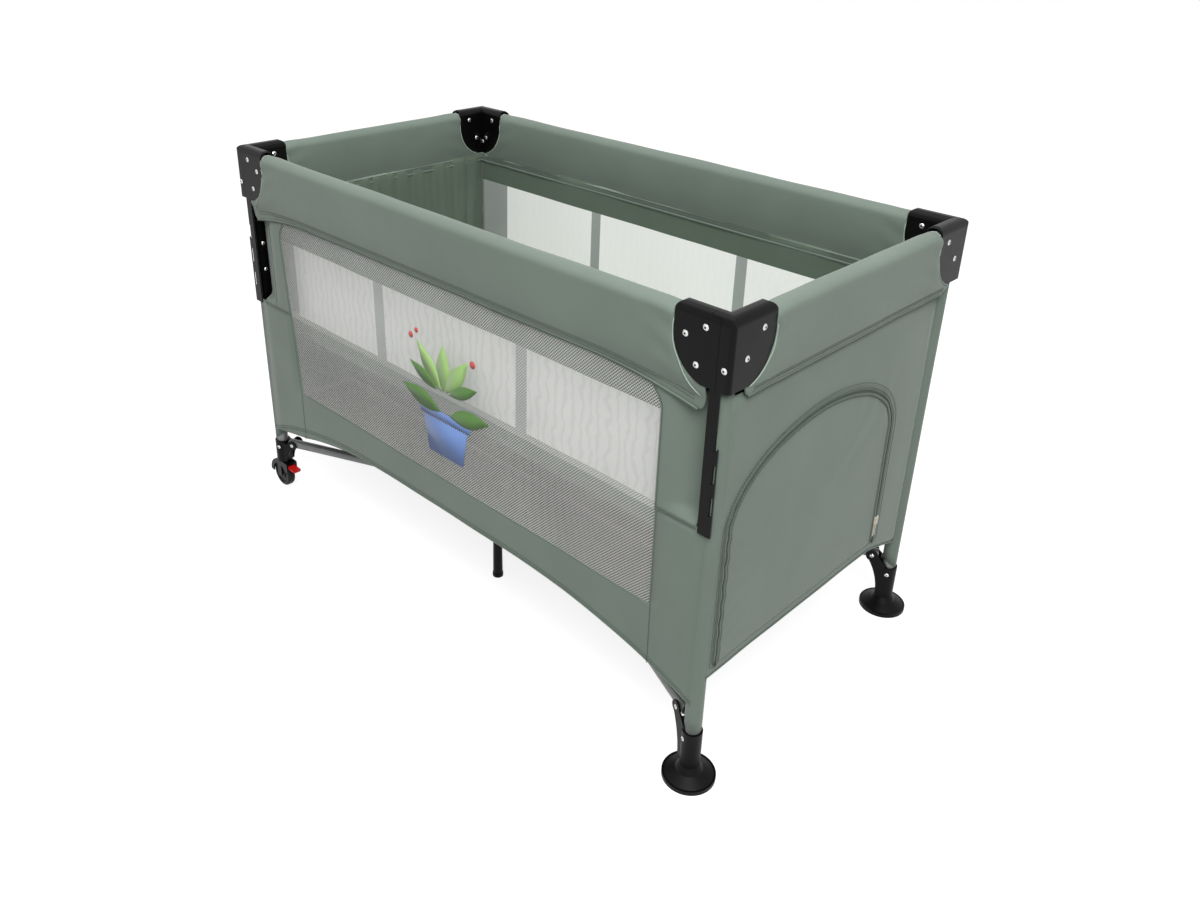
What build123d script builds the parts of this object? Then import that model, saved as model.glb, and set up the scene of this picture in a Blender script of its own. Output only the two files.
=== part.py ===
"""Folding playpen: a tube frame that folds to a bundle, a drop side, a hung bassinet and a zipped door.

Millimetres, +Z up. +X is the door end, -Y the front, and the floor is at zero height.
Pieces of one corner are drawn at the front left leg and mirrored to the other corners.
"""

import os
from math import atan2, cos, degrees, hypot, pi, sin, sqrt

from build123d import *

# Frame
leg_x = 578.0
leg_y = 296.0
leg_dia = 24.0
leg_top = 757.0
tube_wall = 1.2
pin_dia = 8.0
pin_play = 0.4
part_gap = 0.3
slide_gap = 0.5

# Rails and their centre locks
rail_dia = 18.0
rail_drop = 22.0
rail_offset = 6.0
rail_stub = 14.0
rail_play = 1.0
corner_reach = 50.0
lock_pitch = 64.0
lock_wall = 3.0
lock_end = 18.0
lock_drop = 21.0
lock_rise = 12.0
button_size = 12.0
button_head = 22.0
button_head_height = 6.0
button_travel = 6.0
button_stem = 24.0
button_round = 4.4

# Corner housings
cap_out = 21.0
cap_in = 9.0
cap_arm = 72.0
cap_lid = 14.0
cap_height = 102.0
cap_wall = 2.5
cap_round = 13.0
cap_nose = 9.0
cap_arris = 7.0
cap_toe = 24.0
cap_belly = 57.0
cap_belly_drop = 80.0
cap_shoulder_drop = 33.0
boss_dia = 18.0
socket_half = 15.8

# Drop side track
track_length = 308.0
track_width = 22.0
track_web = 8.0
track_flange = 2.0
track_depth = 5.0
track_slot_length = 29.0
track_slot_width = 6.0
track_slot_pitch = 50.0
track_slot_first = 34.0
track_round = 2.0
track_neck = 6.0
track_step = 141.0
track_plate = 2.5
track_plate_rise = 4.0
track_plate_round = 9.0
track_rim = 1.6
track_slots = 3
guide_height = 98.0

# Bottom frame
base_z = 112.0
base_dia = 19.0
base_stub = 11.0
bracket_reach = 32.0
fork_wall = 3.2
fork_boss = 22.0
hub_plate = 5.0
hub_edge = 15.0
hub_arm_width = 26.0
hub_arm_depth = 16.0
hub_foot_y = 175.0
hub_foot_top_dia = 17.0
hub_foot_dia = 21.0
hub_foot_bead = 7.0
hub_foot_step = 1.0
cheek_length = 38.0

# Foot brackets
socket_wall = 4.0
foot_dia = 84.0
foot_rim = 7.0
foot_dome = 16.0
foot_neck_dia = 44.0
socket_seat = 26.0
socket_top = 92.0
gusset_low = 30.0
gusset_bow_reach = 0.28
gusset_bow_rise = 0.55

# Castors
wheel_dia = 60.0
wheel_width = 17.0
tyre_round = 4.0
hub_cap_dia = 24.0
axle_dia = 7.0
castor_trail = 6.0
fork_thick = 3.0
fork_gap = 1.2
swivel_dia = 13.0
swivel_gap = 1.0
castor_seat = 86.0
castor_top = 118.0
hood_gap = 3.0
lever_length = 30.0
lever_thick = 4.0
spoke_width = 15.0
window_rim = 4.0
lever_gap = 0.7
lever_lug = 6.0
lever_pin_dia = 5.0

# Cloth
cloth = 1.2
cover_width = 29.0
cover_drop = 5.0
cover_height = 114.0
cover_roll = 14.5
cover_crown = 0.72
cover_end_gap = 2.0
wall_end = 13.6
hem_corner = 165.0
hem_middle = 205.0
end_hem = 197.0
window_half = 493.0
window_bottom = 283.0
window_header = 14.0
window_round = 22.0
net_thick = 0.8
net_border = 6.0
net_strand = 5.0
net_columns = 22
net_rows = 6
floor_z = 200.0
floor_clear = 0.3
floor_cloth = 2.0

# Bassinet and mattress
basket_height = 272.0
basket_tuck = 15.0
basket_cloth = 1.5
basket_round = 20.0
basket_gap = 1.5
basket_rim = 12.0
mattress_margin = 9.0
mattress_height = 28.0
mattress_panels = 4
mattress_fold = 10.0
mattress_crown = 3.0
mattress_tuck = 6.0
mattress_web = 2.0
mattress_waist = 0.5
mattress_flat = 0.25

# Door
door_front = -276.0
door_back = 168.0
door_hem = 212.0
door_spring_z = 440.0
door_top = 562.0
door_gap = 4.0
door_cord = 4.0
slider_width = 9.0
slider_depth = 5.0
slider_length = 15.0
pull_width = 6.0
pull_length = 24.0
pull_thick = 2.0

# Values that follow
leg_r = leg_dia / 2
rail_r = rail_dia / 2
base_r = base_dia / 2
pin_r = pin_dia / 2
hole_r = pin_r + pin_play / 2
long_half = leg_x - corner_reach - lock_pitch / 2
short_half = leg_y - corner_reach - lock_pitch / 2
base_turn = atan2(short_half, long_half)
base_length = hypot(long_half, short_half)
bracket_x = leg_x - bracket_reach * cos(base_turn)
bracket_y = leg_y - bracket_reach * sin(base_turn)
hub_x = bracket_x - long_half
hub_y = bracket_y - short_half
rail_y = leg_y + rail_offset
rail_x = leg_x + rail_offset
slot_half = rail_r + rail_play
track_back = leg_y + leg_r + 2 * part_gap
track_front = track_back + track_depth
wall_y = track_back
wall_x = leg_x + leg_r + 2 * part_gap
cap_top = leg_top + cap_lid
cap_bottom = cap_top - cap_height
cap_belly_z = cap_top - cap_belly_drop
cap_shoulder = cap_top - cap_shoulder_drop
rail_z = leg_top - rail_drop
track_top = leg_top
track_bottom = track_top - track_length
track_step_z = track_bottom + track_step
track_plate_low = track_bottom + track_plate_rise
cover_top = cap_top - cover_drop
cover_bottom = cover_top - cover_height
cover_shoulder = cover_top - cover_roll
wall_top = cover_bottom - part_gap
window_top = cover_bottom - window_header
basket_top = cover_bottom + basket_tuck
basket_bottom = basket_top - basket_height
socket_r = leg_r + socket_wall
low = Align.MIN
mid = Align.CENTER
shapes = {}


def box(x, y, z):
    """A block between the two values of each pair."""
    size = (abs(x[1] - x[0]), abs(y[1] - y[0]), abs(z[1] - z[0]))
    return Pos(min(x), min(y), min(z)) * Box(*size, align=(low, low, low))


def rod(start, end, radius):
    """A round bar between two points."""
    line = Vector(*end) - Vector(*start)
    return Plane(origin=start, z_dir=line) * Cylinder(radius, line.length, align=(mid, mid, low))


def front_plane(y):
    """Width along +X and height along +Z, facing the front."""
    return Plane(origin=(0, y, 0), x_dir=(1, 0, 0), z_dir=(0, -1, 0))


def side_plane(x):
    """Width along +Y and height along +Z, facing +X."""
    return Plane(origin=(x, 0, 0), x_dir=(0, 1, 0), z_dir=(1, 0, 0))


def outline(points, radius=0.0):
    """A face from corner points, with its corners rounded."""
    if radius:
        return make_face(FilletPolyline(*points, radius=radius, close=True))
    return make_face(Polyline(*points, close=True))


def slab(plane, points, depth, radius=0.0):
    """A plate of that outline, standing off the plane."""
    return extrude(plane * outline(points, radius), depth)


def place(shape, right, back):
    """A front left shape, mirrored to another corner."""
    if right:
        shape = mirror(shape, Plane.YZ)
    if back:
        shape = mirror(shape, Plane.XZ)
    return shape


def keep(name, shape):
    shapes[name] = shape


def hollow(radius, length):
    """A frame tube standing on the origin."""
    tube = Cylinder(radius, length, align=(mid, mid, low))
    return tube - Cylinder(radius - tube_wall, length, align=(mid, mid, low))


def leg(seat):
    return Pos(-leg_x, -leg_y, seat) * hollow(leg_r, leg_top - seat)


def cap_plan(points):
    """A plan outline measured inwards from the front left leg's axis."""
    return outline([(-leg_x + p, -leg_y + q) for p, q in points])


def cap_box(p, q, z):
    """A block measured inwards from the front left leg's axis."""
    return box((-leg_x + p[0], -leg_x + p[1]), (-leg_y + q[0], -leg_y + q[1]), z)


def arm_side():
    """Side view of an arm as reach and height: flat foot at the leg, rounded lower edge and nose."""
    near = -cap_out - cap_wall
    nose = cap_nose * (1 - cos(pi / 4))
    face = make_face(
        Line((near, cap_bottom), (cap_toe, cap_bottom))
        + ThreePointArc((cap_toe, cap_bottom), (cap_belly, cap_belly_z), (cap_arm, cap_shoulder))
        + Line((cap_arm, cap_shoulder), (cap_arm, cap_top - cap_nose))
        + ThreePointArc(
            (cap_arm, cap_top - cap_nose), (cap_arm - nose, cap_top - nose), (cap_arm - cap_nose, cap_top)
        )
        + Line((cap_arm - cap_nose, cap_top), (near, cap_top))
        + Line((near, cap_top), (near, cap_bottom))
    )
    return face


def arm_section(inset):
    """Cross-section of an arm, measured inwards from the leg's axis, with its top rounded."""
    outer = -cap_out + inset
    inner = cap_in - inset
    top = cap_top - inset
    face = outline([(outer, 0), (inner, 0), (inner, top), (outer, top)])
    return fillet(face.vertices().group_by(Axis.Y)[-1], cap_round - inset)


def front_bar(inset, start, end):
    """A bar of the arm's section along the front rail."""
    bar = extrude(side_plane(start) * arm_section(inset), end - start)
    return Pos(-leg_x, -leg_y, 0) * bar


def turned(shape):
    """A shape of the front rail's arm, mirrored to the end rail's arm."""
    return mirror(shape, Plane(origin=(-leg_x, -leg_y, 0), z_dir=(1, -1, 0)))


def cap_block():
    """Outside of a corner housing: two arms with rounded tops that meet in a mitre."""
    far = 2 * cap_arm
    arm = front_bar(0, -cap_out, cap_arm)
    arm &= Pos(-leg_x, -leg_y, 0) * extrude(front_plane(cap_in) * arm_side(), cap_out + cap_in)
    arm &= extrude(cap_plan([(-far, -far), (far, -far), (far, far)]), cap_top)
    block = arm + turned(arm)
    square = cap_plan([(-cap_out, -cap_out), (far, -cap_out), (far, far), (-cap_out, far)])
    corner = square.vertices().sort_by_distance((-leg_x - cap_out, -leg_y - cap_out, 0))[0]
    return block & extrude(fillet(corner, cap_arris), cap_top)


arm_inside = (-cap_out + cap_wall, cap_in - cap_wall)
under_lid = cap_top - cap_round


def pivot_rod(start, end, radius):
    """A round bar on the front rail's pivot axis."""
    x = -leg_x + corner_reach
    return rod((x, -leg_y + start, rail_z), (x, -leg_y + end, rail_z), radius)


def front_pivot():
    """Pivot pin of the front rail, with a boss on both cheeks that leaves the rail's width free."""
    outer, inner = arm_inside
    body = pivot_rod(outer, inner, pin_r)
    body += pivot_rod(outer, -rail_offset - slot_half, boss_dia / 2)
    body += pivot_rod(slot_half - rail_offset, inner, boss_dia / 2)
    return body


def front_room():
    """Room for the front rail inside its arm."""
    return front_bar(cap_wall, socket_half + cap_wall, 2 * cap_arm)


def leg_bore():
    return Pos(-leg_x, -leg_y, 0) * Cylinder(leg_r + pin_play / 2, leg_top, align=(mid, mid, low))


guide_q = -(track_back + part_gap - leg_y)


def carriage_plan(gap, back):
    """Plan of what belongs to the front rail's carriage: the front arm and the plate before the leg."""
    split = slide_gap / 2 - gap
    beside = socket_half - gap
    far = cap_arm + cap_wall
    near = -cap_out - cap_wall
    inner = cap_in + gap
    plate = back + gap
    points = [(split, near), (far, near), (far, inner), (beside, inner), (beside, plate), (split, plate)]
    return cap_plan(points)


def carriage_region(gap):
    """The carriage's share of the cap; the lid over the track stays with the housing."""
    region = extrude(carriage_plan(gap, guide_q), under_lid - slide_gap + gap)
    return region + extrude(carriage_plan(gap, arm_inside[0]), cap_top + cap_wall)


def front_corner():
    """Housing of a front leg: it holds the leg and the end rail; the front rail has its carriage."""
    body = cap_block() - carriage_region(slide_gap) - turned(front_room())
    track_room = track_width / 2 + slide_gap
    body -= cap_box((-track_room, socket_half), (arm_inside[0], -cap_wall), (0, under_lid))
    return body - leg_bore() + turned(front_pivot())


def back_corner():
    """Housing of a back leg, with both rails pivoted in it, drawn at the front left."""
    body = cap_block() - front_room() - turned(front_room())
    return body - leg_bore() + front_pivot() + turned(front_pivot())


def track():
    """T-section bar on the front of a leg, with latch slots, and a plate down the leg's inner side."""
    half_web = track_web / 2
    half_bar = track_width / 2
    depth = (-track_front, -leg_y - leg_r / 2)
    body = box((-leg_x - half_web, -leg_x + half_web), depth, (track_bottom, track_top))
    points = [
        (-leg_x - half_bar, track_bottom),
        (-leg_x + half_bar, track_bottom),
        (-leg_x + half_bar, track_top),
        (-leg_x - track_neck, track_top),
        (-leg_x - track_neck, track_step_z),
        (-leg_x - half_bar, track_step_z - half_bar + track_neck),
    ]
    bar = slab(front_plane(-track_front + track_flange), points, track_flange, track_round)
    slot_x = -leg_x - half_bar + track_rim + track_slot_width / 2
    for n in range(track_slots):
        slot_z = track_bottom + track_slot_first + n * track_slot_pitch
        slot = Pos(slot_x, slot_z + track_slot_length / 2) * Rectangle(track_slot_width, track_slot_length)
        bar -= extrude(front_plane(-track_front + track_flange) * slot, track_flange)
    plate_in = socket_half - slide_gap - part_gap
    near = guide_q + slide_gap
    span = (track_plate_low, cap_bottom - slide_gap)
    body += cap_box((half_web, plate_in), (near, -leg_r / 2), span)
    side = outline([(near, span[0]), (cap_in, span[0]), (cap_in, span[1]), (near, span[1])])
    side = fillet(side.vertices().sort_by_distance((cap_in, span[0], 0))[0], track_plate_round)
    plate = extrude(side_plane(plate_in - track_plate) * side, track_plate)
    body += Pos(-leg_x, -leg_y, 0) * plate
    body -= Pos(-leg_x, -leg_y, 0) * Cylinder(leg_r + part_gap, cap_top, align=(mid, mid, low))
    return body + bar


def front_carriage():
    """End of the front rail: pivot cheeks, and a guide that runs on the track."""
    body = cap_block() & carriage_region(0)
    body -= front_room()
    guide_top = under_lid - slide_gap
    guide_low = guide_top - guide_height
    half = track_width / 2 + slide_gap
    body -= cap_box((-cap_arm, socket_half), (arm_inside[0], cap_in), (0, guide_low))
    slot_front = -(track_front + slide_gap - leg_y)
    slot_back = -(track_front - track_flange - slide_gap - leg_y)
    body -= cap_box((-half, half), (slot_front, slot_back), (0, guide_top))
    web = track_web / 2 + slide_gap
    body -= cap_box((-web, web), (slot_front, guide_q + cap_wall), (0, guide_top))
    return body + front_pivot()


def rail(length):
    """Half rail along +X from its first pivot, with a cross hole at each pivot."""
    whole = length + 2 * rail_stub
    tube = Pos(-rail_stub, 0, 0) * Rot(0, 90, 0) * hollow(rail_r, whole)
    for x in (0, length):
        tube -= rod((x, -rail_dia, 0), (x, rail_dia, 0), hole_r)
    return tube


def lock():
    """Centre lock: a channel open above, with the pins of both half rails and a button hole below."""
    half = lock_pitch / 2 + lock_end
    inner = slot_half
    outer = slot_half + lock_wall
    side = [(-half, -lock_drop), (half, -lock_drop), (half, lock_rise), (-half, lock_rise)]
    body = slab(front_plane(outer), side, 2 * outer, lock_end / 2)
    body -= box((-leg_x, leg_x), (-inner, inner), (-lock_drop + lock_wall, lock_rise))
    hole = button_size / 2 + slide_gap
    body -= box((-hole, hole), (-hole, hole), (-lock_drop, 0))
    for x in (-lock_pitch / 2, lock_pitch / 2):
        body += rod((x, -outer, 0), (x, outer, 0), pin_r)
    return body


def button():
    """Press button under the lock, with its stem between the two rail ends."""
    head_top = -lock_drop - button_travel - part_gap
    points = [
        (-button_head / 2, -button_head / 2),
        (button_head / 2, -button_head / 2),
        (button_head / 2, button_head / 2),
        (-button_head / 2, button_head / 2),
    ]
    face = outline(points, button_round)
    head = extrude(Plane.XY.offset(head_top - button_head_height) * face, button_head_height)
    half = button_size / 2
    return head + box((-half, half), (-half, half), (head_top, head_top + button_stem))


def base_tube():
    """Bottom tube along +X from the bracket pivot."""
    whole = base_length + 2 * base_stub
    tube = Pos(-base_stub, 0, 0) * Rot(0, 90, 0) * hollow(base_r, whole)
    for x in (0, base_length):
        tube -= rod((x, -base_dia, 0), (x, base_dia, 0), hole_r)
    return Pos(-bracket_x, -bracket_y, base_z) * Rot(0, 0, degrees(base_turn)) * tube


fork_in = base_r + rail_play
fork_out = fork_in + fork_wall
plate_z = base_z + hypot(base_stub, base_r) + rail_play


def along_base(shape):
    """A shape drawn with the leg at the origin and the bottom tube along +X."""
    return Pos(-leg_x, -leg_y, 0) * Rot(0, 0, degrees(base_turn)) * shape


def gusset(low_z, top_z):
    """Two curved cheeks from the leg socket to the bottom tube's pivot."""
    boss = fork_boss / 2
    tip = bracket_reach + boss
    bow = (socket_r + (tip - socket_r) * gusset_bow_reach, low_z + (base_z - low_z) * gusset_bow_rise)
    face = make_face(
        Line((0, low_z), (socket_r, low_z))
        + ThreePointArc((socket_r, low_z), bow, (tip, base_z))
        + Line((tip, base_z), (bracket_reach, base_z + boss))
        + Line((bracket_reach, base_z + boss), (bracket_reach - boss, base_z))
        + Line((bracket_reach - boss, base_z), (0, top_z))
        + Line((0, top_z), (0, low_z))
    )
    cheeks = extrude(front_plane(fork_out) * face, 2 * fork_out)
    cheeks += rod((bracket_reach, -fork_out, base_z), (bracket_reach, fork_out, base_z), boss)
    return cheeks - box((socket_r, leg_x), (-fork_in, fork_in), (0, leg_top))


def bracket_pin():
    return rod((bracket_reach, -fork_out, base_z), (bracket_reach, fork_out, base_z), pin_r)


def foot_bracket():
    """Leg socket, gusset and disc foot, moulded in one."""
    profile = make_face(
        Polyline(
            (0, 0),
            (foot_dia / 2, 0),
            (foot_dia / 2, foot_rim),
            (foot_dia / 2 - foot_rim / 2, foot_rim),
            (foot_neck_dia / 2, foot_dome),
            (socket_r, socket_seat),
            (socket_r, socket_top),
            (0, socket_top),
            close=True,
        )
    )
    body = revolve(Plane.XZ * profile, Axis.Z)
    body += gusset(gusset_low, socket_top) + bracket_pin()
    body -= Pos(0, 0, socket_seat) * Cylinder(leg_r + pin_play / 2, leg_top, align=(mid, mid, low))
    return along_base(body)


axle_x = -castor_trail
axle_z = wheel_dia / 2
fork_top = axle_z + wheel_dia / 2 + hood_gap + fork_thick


def castor_bracket():
    """Leg socket and gusset with the castor's swivel pin below."""
    body = Pos(0, 0, fork_top + swivel_gap) * Cylinder(
        socket_r, castor_top - fork_top - swivel_gap, align=(mid, mid, low)
    )
    body += gusset(fork_top + 2 * swivel_gap, castor_top) + bracket_pin()
    body -= Pos(0, 0, castor_seat) * Cylinder(leg_r + pin_play / 2, leg_top, align=(mid, mid, low))
    body += rod((0, 0, fork_top - fork_thick), (0, 0, castor_seat), swivel_dia / 2)
    return along_base(body)


fork_inner = wheel_width / 2 + fork_gap
fork_outer = fork_inner + fork_thick
lever_x = socket_r + lever_pin_dia
lever_z = axle_z + wheel_dia / 2 - lever_pin_dia
lever_half = fork_inner - lever_gap


def castor_fork():
    """Hooded fork: two side plates joined over the wheel, bored for the swivel pin."""
    crown_r = wheel_dia / 2 + hood_gap + fork_thick
    front = lever_x + lever_lug
    under = axle_z + crown_r / 2
    side = make_face(
        Line((front, fork_top), (-castor_trail, fork_top))
        + ThreePointArc(
            (-castor_trail, fork_top),
            (-castor_trail - crown_r * sin(pi / 4), axle_z + crown_r * cos(pi / 4)),
            (-castor_trail - crown_r, axle_z),
        )
        + Line((-castor_trail - crown_r, axle_z), (-castor_trail, axle_z - axle_dia))
        + Line((-castor_trail, axle_z - axle_dia), (front, under))
        + Line((front, under), (front, fork_top))
    )
    body = extrude(front_plane(fork_outer) * side, 2 * fork_outer)
    room = wheel_dia / 2 + hood_gap
    body -= rod((axle_x, -fork_inner, axle_z), (axle_x, fork_inner, axle_z), room)
    body -= box((-leg_x, leg_x), (-fork_inner, fork_inner), (0, axle_z))
    body -= box((lever_x - lever_lug, leg_x), (-fork_inner, fork_inner), (0, lever_z + lever_lug))
    body -= rod((0, 0, under), (0, 0, leg_top), swivel_dia / 2 + pin_play / 2)
    window = rod((axle_x, -fork_outer, axle_z), (axle_x, fork_outer, axle_z), wheel_dia / 2 - window_rim)
    spoke = (axle_x - spoke_width / 2, axle_x + spoke_width / 2)
    body -= window - box(spoke, (-fork_outer, fork_outer), (0, fork_top))
    body += rod((axle_x, -fork_outer, axle_z), (axle_x, fork_outer, axle_z), axle_dia / 2)
    body += rod((lever_x, -fork_outer, lever_z), (lever_x, fork_outer, lever_z), lever_pin_dia / 2)
    return Pos(-leg_x, -leg_y, 0) * body


def castor_wheel():
    """Wheel with a rounded tyre and a raised hub."""
    tyre = rod((0, -wheel_width / 2, 0), (0, wheel_width / 2, 0), wheel_dia / 2)
    rim = tyre.edges().filter_by(GeomType.CIRCLE).filter_by(lambda e: e.radius > wheel_dia / 2 - tyre_round)
    tyre = fillet(rim, tyre_round)
    recess = wheel_dia / 2 - 2 * tyre_round
    for side in (-1, 1):
        dish = Pos(0, side * wheel_width / 2, 0) * Rot(90, 0, 0)
        ring = Cylinder(recess, tyre_round) - Cylinder(hub_cap_dia / 2, tyre_round)
        tyre -= dish * ring
    tyre -= rod((0, -wheel_width, 0), (0, wheel_width, 0), axle_dia / 2 + pin_play / 2)
    return Pos(-leg_x + axle_x, -leg_y, axle_z) * tyre


def brake_lever():
    """Foot lever hinged beside the fork, with its pad over the wheel's edge."""
    ear = lever_pin_dia / 2 + pin_play / 2 + lever_thick / 2
    body = rod((0, -lever_half, 0), (0, lever_half, 0), ear)
    tread = [(0, -lever_half), (lever_length, -lever_half), (lever_length, lever_half), (0, lever_half)]
    pad = extrude(Plane.XY.offset(-lever_thick / 2) * outline(tread, lever_thick), lever_thick)
    body += pad
    body -= rod((0, -lever_half, 0), (0, lever_half, 0), lever_pin_dia / 2 + pin_play / 2)
    return Pos(-leg_x + lever_x, -leg_y, lever_z) * body


def hub():
    """Centre hub: a plate over four tube forks, with an arm to each post foot."""
    half_x = hub_x + hub_edge
    half_y = hub_y + hub_edge
    points = [(-half_x, -half_y), (half_x, -half_y), (half_x, half_y), (-half_x, half_y)]
    body = extrude(Plane.XY.offset(plate_z) * outline(points, hub_edge), hub_plate)
    arm = hub_foot_y + hub_foot_top_dia
    half_arm = hub_arm_width / 2
    body += box((-half_arm, half_arm), (-arm, arm), (plate_z - hub_arm_depth, plate_z + hub_plate))
    for right in (False, True):
        for back in (False, True):
            body += place(hub_fork(), right, back)
    for side in (-1, 1):
        body -= Pos(0, side * hub_foot_y, 0) * Cylinder(
            hub_foot_top_dia / 2 + pin_play / 2, plate_z, align=(mid, mid, low)
        )
    return body


def hub_fork():
    """Cheeks and pin that carry one bottom tube, drawn for the front left tube."""
    turn = Pos(-hub_x, -hub_y, 0) * Rot(0, 0, degrees(base_turn))
    half = cheek_length / 2
    cheek_low = base_z - fork_boss / 2
    side = [(-half, plate_z), (-half, base_z), (-fork_boss / 2, cheek_low)]
    side += [(fork_boss / 2, cheek_low), (half, base_z), (half, plate_z)]
    body = slab(front_plane(fork_out), side, 2 * fork_out)
    body -= box((-cheek_length, cheek_length), (-fork_in, fork_in), (0, plate_z))
    body += rod((0, -fork_out, base_z), (0, fork_out, base_z), pin_r)
    return turn * body


def hub_feet():
    """The two post feet under the hub's arms."""
    profile = make_face(
        Polyline(
            (0, 0),
            (hub_foot_dia / 2, 0),
            (hub_foot_dia / 2, hub_foot_bead),
            (hub_foot_dia / 2 - hub_foot_step, hub_foot_bead),
            (hub_foot_top_dia / 2, plate_z - hub_arm_depth),
            (hub_foot_top_dia / 2, plate_z),
            (0, plate_z),
            close=True,
        )
    )
    foot = revolve(Plane.XZ * profile, Axis.Z)
    return Compound([Pos(0, -hub_foot_y, 0) * foot, Pos(0, hub_foot_y, 0) * foot])


def cover_solid(length):
    """Padded cover along +Y about the origin, with room below for the rails and their lock."""
    half = cover_width / 2
    crown = (half * cos(pi / 4), cover_shoulder + (cover_top - cover_shoulder) * cover_crown)
    face = make_face(
        Line((-half, cover_bottom), (-half, cover_shoulder))
        + ThreePointArc((-half, cover_shoulder), (-crown[0], crown[1]), (0, cover_top))
        + ThreePointArc((0, cover_top), crown, (half, cover_shoulder))
        + Line((half, cover_shoulder), (half, cover_bottom))
        + Line((half, cover_bottom), (-half, cover_bottom))
    )
    room = slot_half + lock_wall + part_gap
    body = extrude(front_plane(length / 2) * face, length)
    return body - box((-room, room), (-length, length), (0, rail_z + lock_rise + part_gap))


def wall_face(half):
    """Long wall, with its lower edge arched."""
    return make_face(
        ThreePointArc((-half, hem_corner), (0, hem_middle), (half, hem_corner))
        + Line((half, hem_corner), (half, wall_top))
        + Line((half, wall_top), (-half, wall_top))
        + Line((-half, wall_top), (-half, hem_corner))
    )


def window_points(gap):
    half = window_half - gap
    return [
        (-half, window_bottom + gap),
        (half, window_bottom + gap),
        (half, window_top - gap),
        (-half, window_top - gap),
    ]


def long_wall():
    """Front wall with its mesh window cut out."""
    face = wall_face(leg_x - wall_end) - outline(window_points(0), window_round)
    return extrude(front_plane(-wall_y) * face, cloth)


def net():
    """Mesh window: one holed face."""
    face = outline(window_points(part_gap), window_round)
    pitch_x = (2 * window_half - 2 * net_border) / net_columns
    pitch_z = (window_top - window_bottom - 2 * net_border) / net_rows
    middle = (window_top + window_bottom) / 2
    hole = Rectangle(pitch_x - net_strand, pitch_z - net_strand)
    face -= Pos(0, middle, 0) * GridLocations(pitch_x, pitch_z, net_columns, net_rows) * hole
    return extrude(front_plane(-wall_y - (cloth - net_thick) / 2) * face, net_thick)


def door_face(grow):
    """Door outline in width along +Y and height: an arch on a straight hem."""
    half = (door_back - door_front) / 2 + grow
    rise = door_top - door_spring_z + grow
    sides = door_spring_z - door_hem + grow
    arch = Ellipse(half, rise) + Pos(0, -sides / 2) * Rectangle(2 * half, sides)
    return Pos((door_front + door_back) / 2, door_spring_z) * arch


def end_wall(with_door):
    half = leg_y - wall_end
    face = outline([(-half, end_hem), (half, end_hem), (half, wall_top), (-half, wall_top)])
    if with_door:
        face -= door_face(door_gap)
    return extrude(side_plane(wall_x) * face, cloth)


def door():
    """Door flap with a round cord in its hem, which it swings about."""
    flap = extrude(side_plane(wall_x) * door_face(0), cloth)
    cord_x = wall_x + cloth / 2
    return flap + rod((cord_x, door_front, door_hem), (cord_x, door_back, door_hem), door_cord / 2)


def zip_slider():
    """Slider at the low end of the zip, with its hanging pull loop."""
    x = wall_x + cloth + part_gap
    y = door_back + door_gap / 2
    z = door_hem + slider_length + pull_length
    body = box((x, x + slider_depth), (y - slider_width / 2, y + slider_width / 2), (z, z + slider_length))
    points = [
        (y - pull_width / 2, z - pull_length),
        (y + pull_width / 2, z - pull_length),
        (y + pull_width / 2, z),
        (y - pull_width / 2, z),
    ]
    pull = slab(side_plane(x + slider_depth / 2 - pull_thick / 2), points, pull_thick)
    return body + pull


def base_floor():
    """Cloth floor from wall to wall, with its corners cut off inside the legs."""
    x = wall_x - part_gap
    y = wall_y - part_gap
    cut = x - leg_x + y - leg_y + (leg_r + floor_clear) * sqrt(2)
    near_x = x - cut
    near_y = y - cut
    points = [
        (-near_x, -y),
        (near_x, -y),
        (x, -near_y),
        (x, near_y),
        (near_x, y),
        (-near_x, y),
        (-x, near_y),
        (-x, -near_y),
    ]
    return extrude(Plane.XY.offset(floor_z) * outline(points), floor_cloth)


basket_x = leg_x - cap_in - basket_gap
basket_y = leg_y - cap_in - basket_gap


def basket_points(inset):
    x = basket_x - inset
    y = basket_y - inset
    return [(-x, -y), (x, -y), (x, y), (-x, y)]


def bassinet_walls():
    """Hung liner: four cloth walls round an open inside, with a hem that meets the rail covers."""
    ring = outline(basket_points(0), basket_round)
    ring -= outline(basket_points(basket_cloth), basket_round - basket_cloth)
    body = extrude(Plane.XY.offset(basket_bottom) * ring, basket_top - basket_bottom)
    rim_x = rail_x - cover_width / 2 - part_gap
    rim_y = rail_y - cover_width / 2 - part_gap
    rim_z = (basket_top - basket_rim, basket_top)
    reach_x = leg_x - cap_arm - cover_end_gap
    reach_y = leg_y - cap_arm - cover_end_gap
    for side in (-1, 1):
        body += box((-reach_x, reach_x), (side * (basket_y - basket_cloth), side * rim_y), rim_z)
        body += box((side * (basket_x - basket_cloth), side * rim_x), (-reach_y, reach_y), rim_z)
    return body


def bassinet_floor():
    inset = basket_cloth + part_gap
    face = outline(basket_points(inset), basket_round - inset)
    return extrude(Plane.XY.offset(basket_bottom) * face, basket_cloth)


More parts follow.
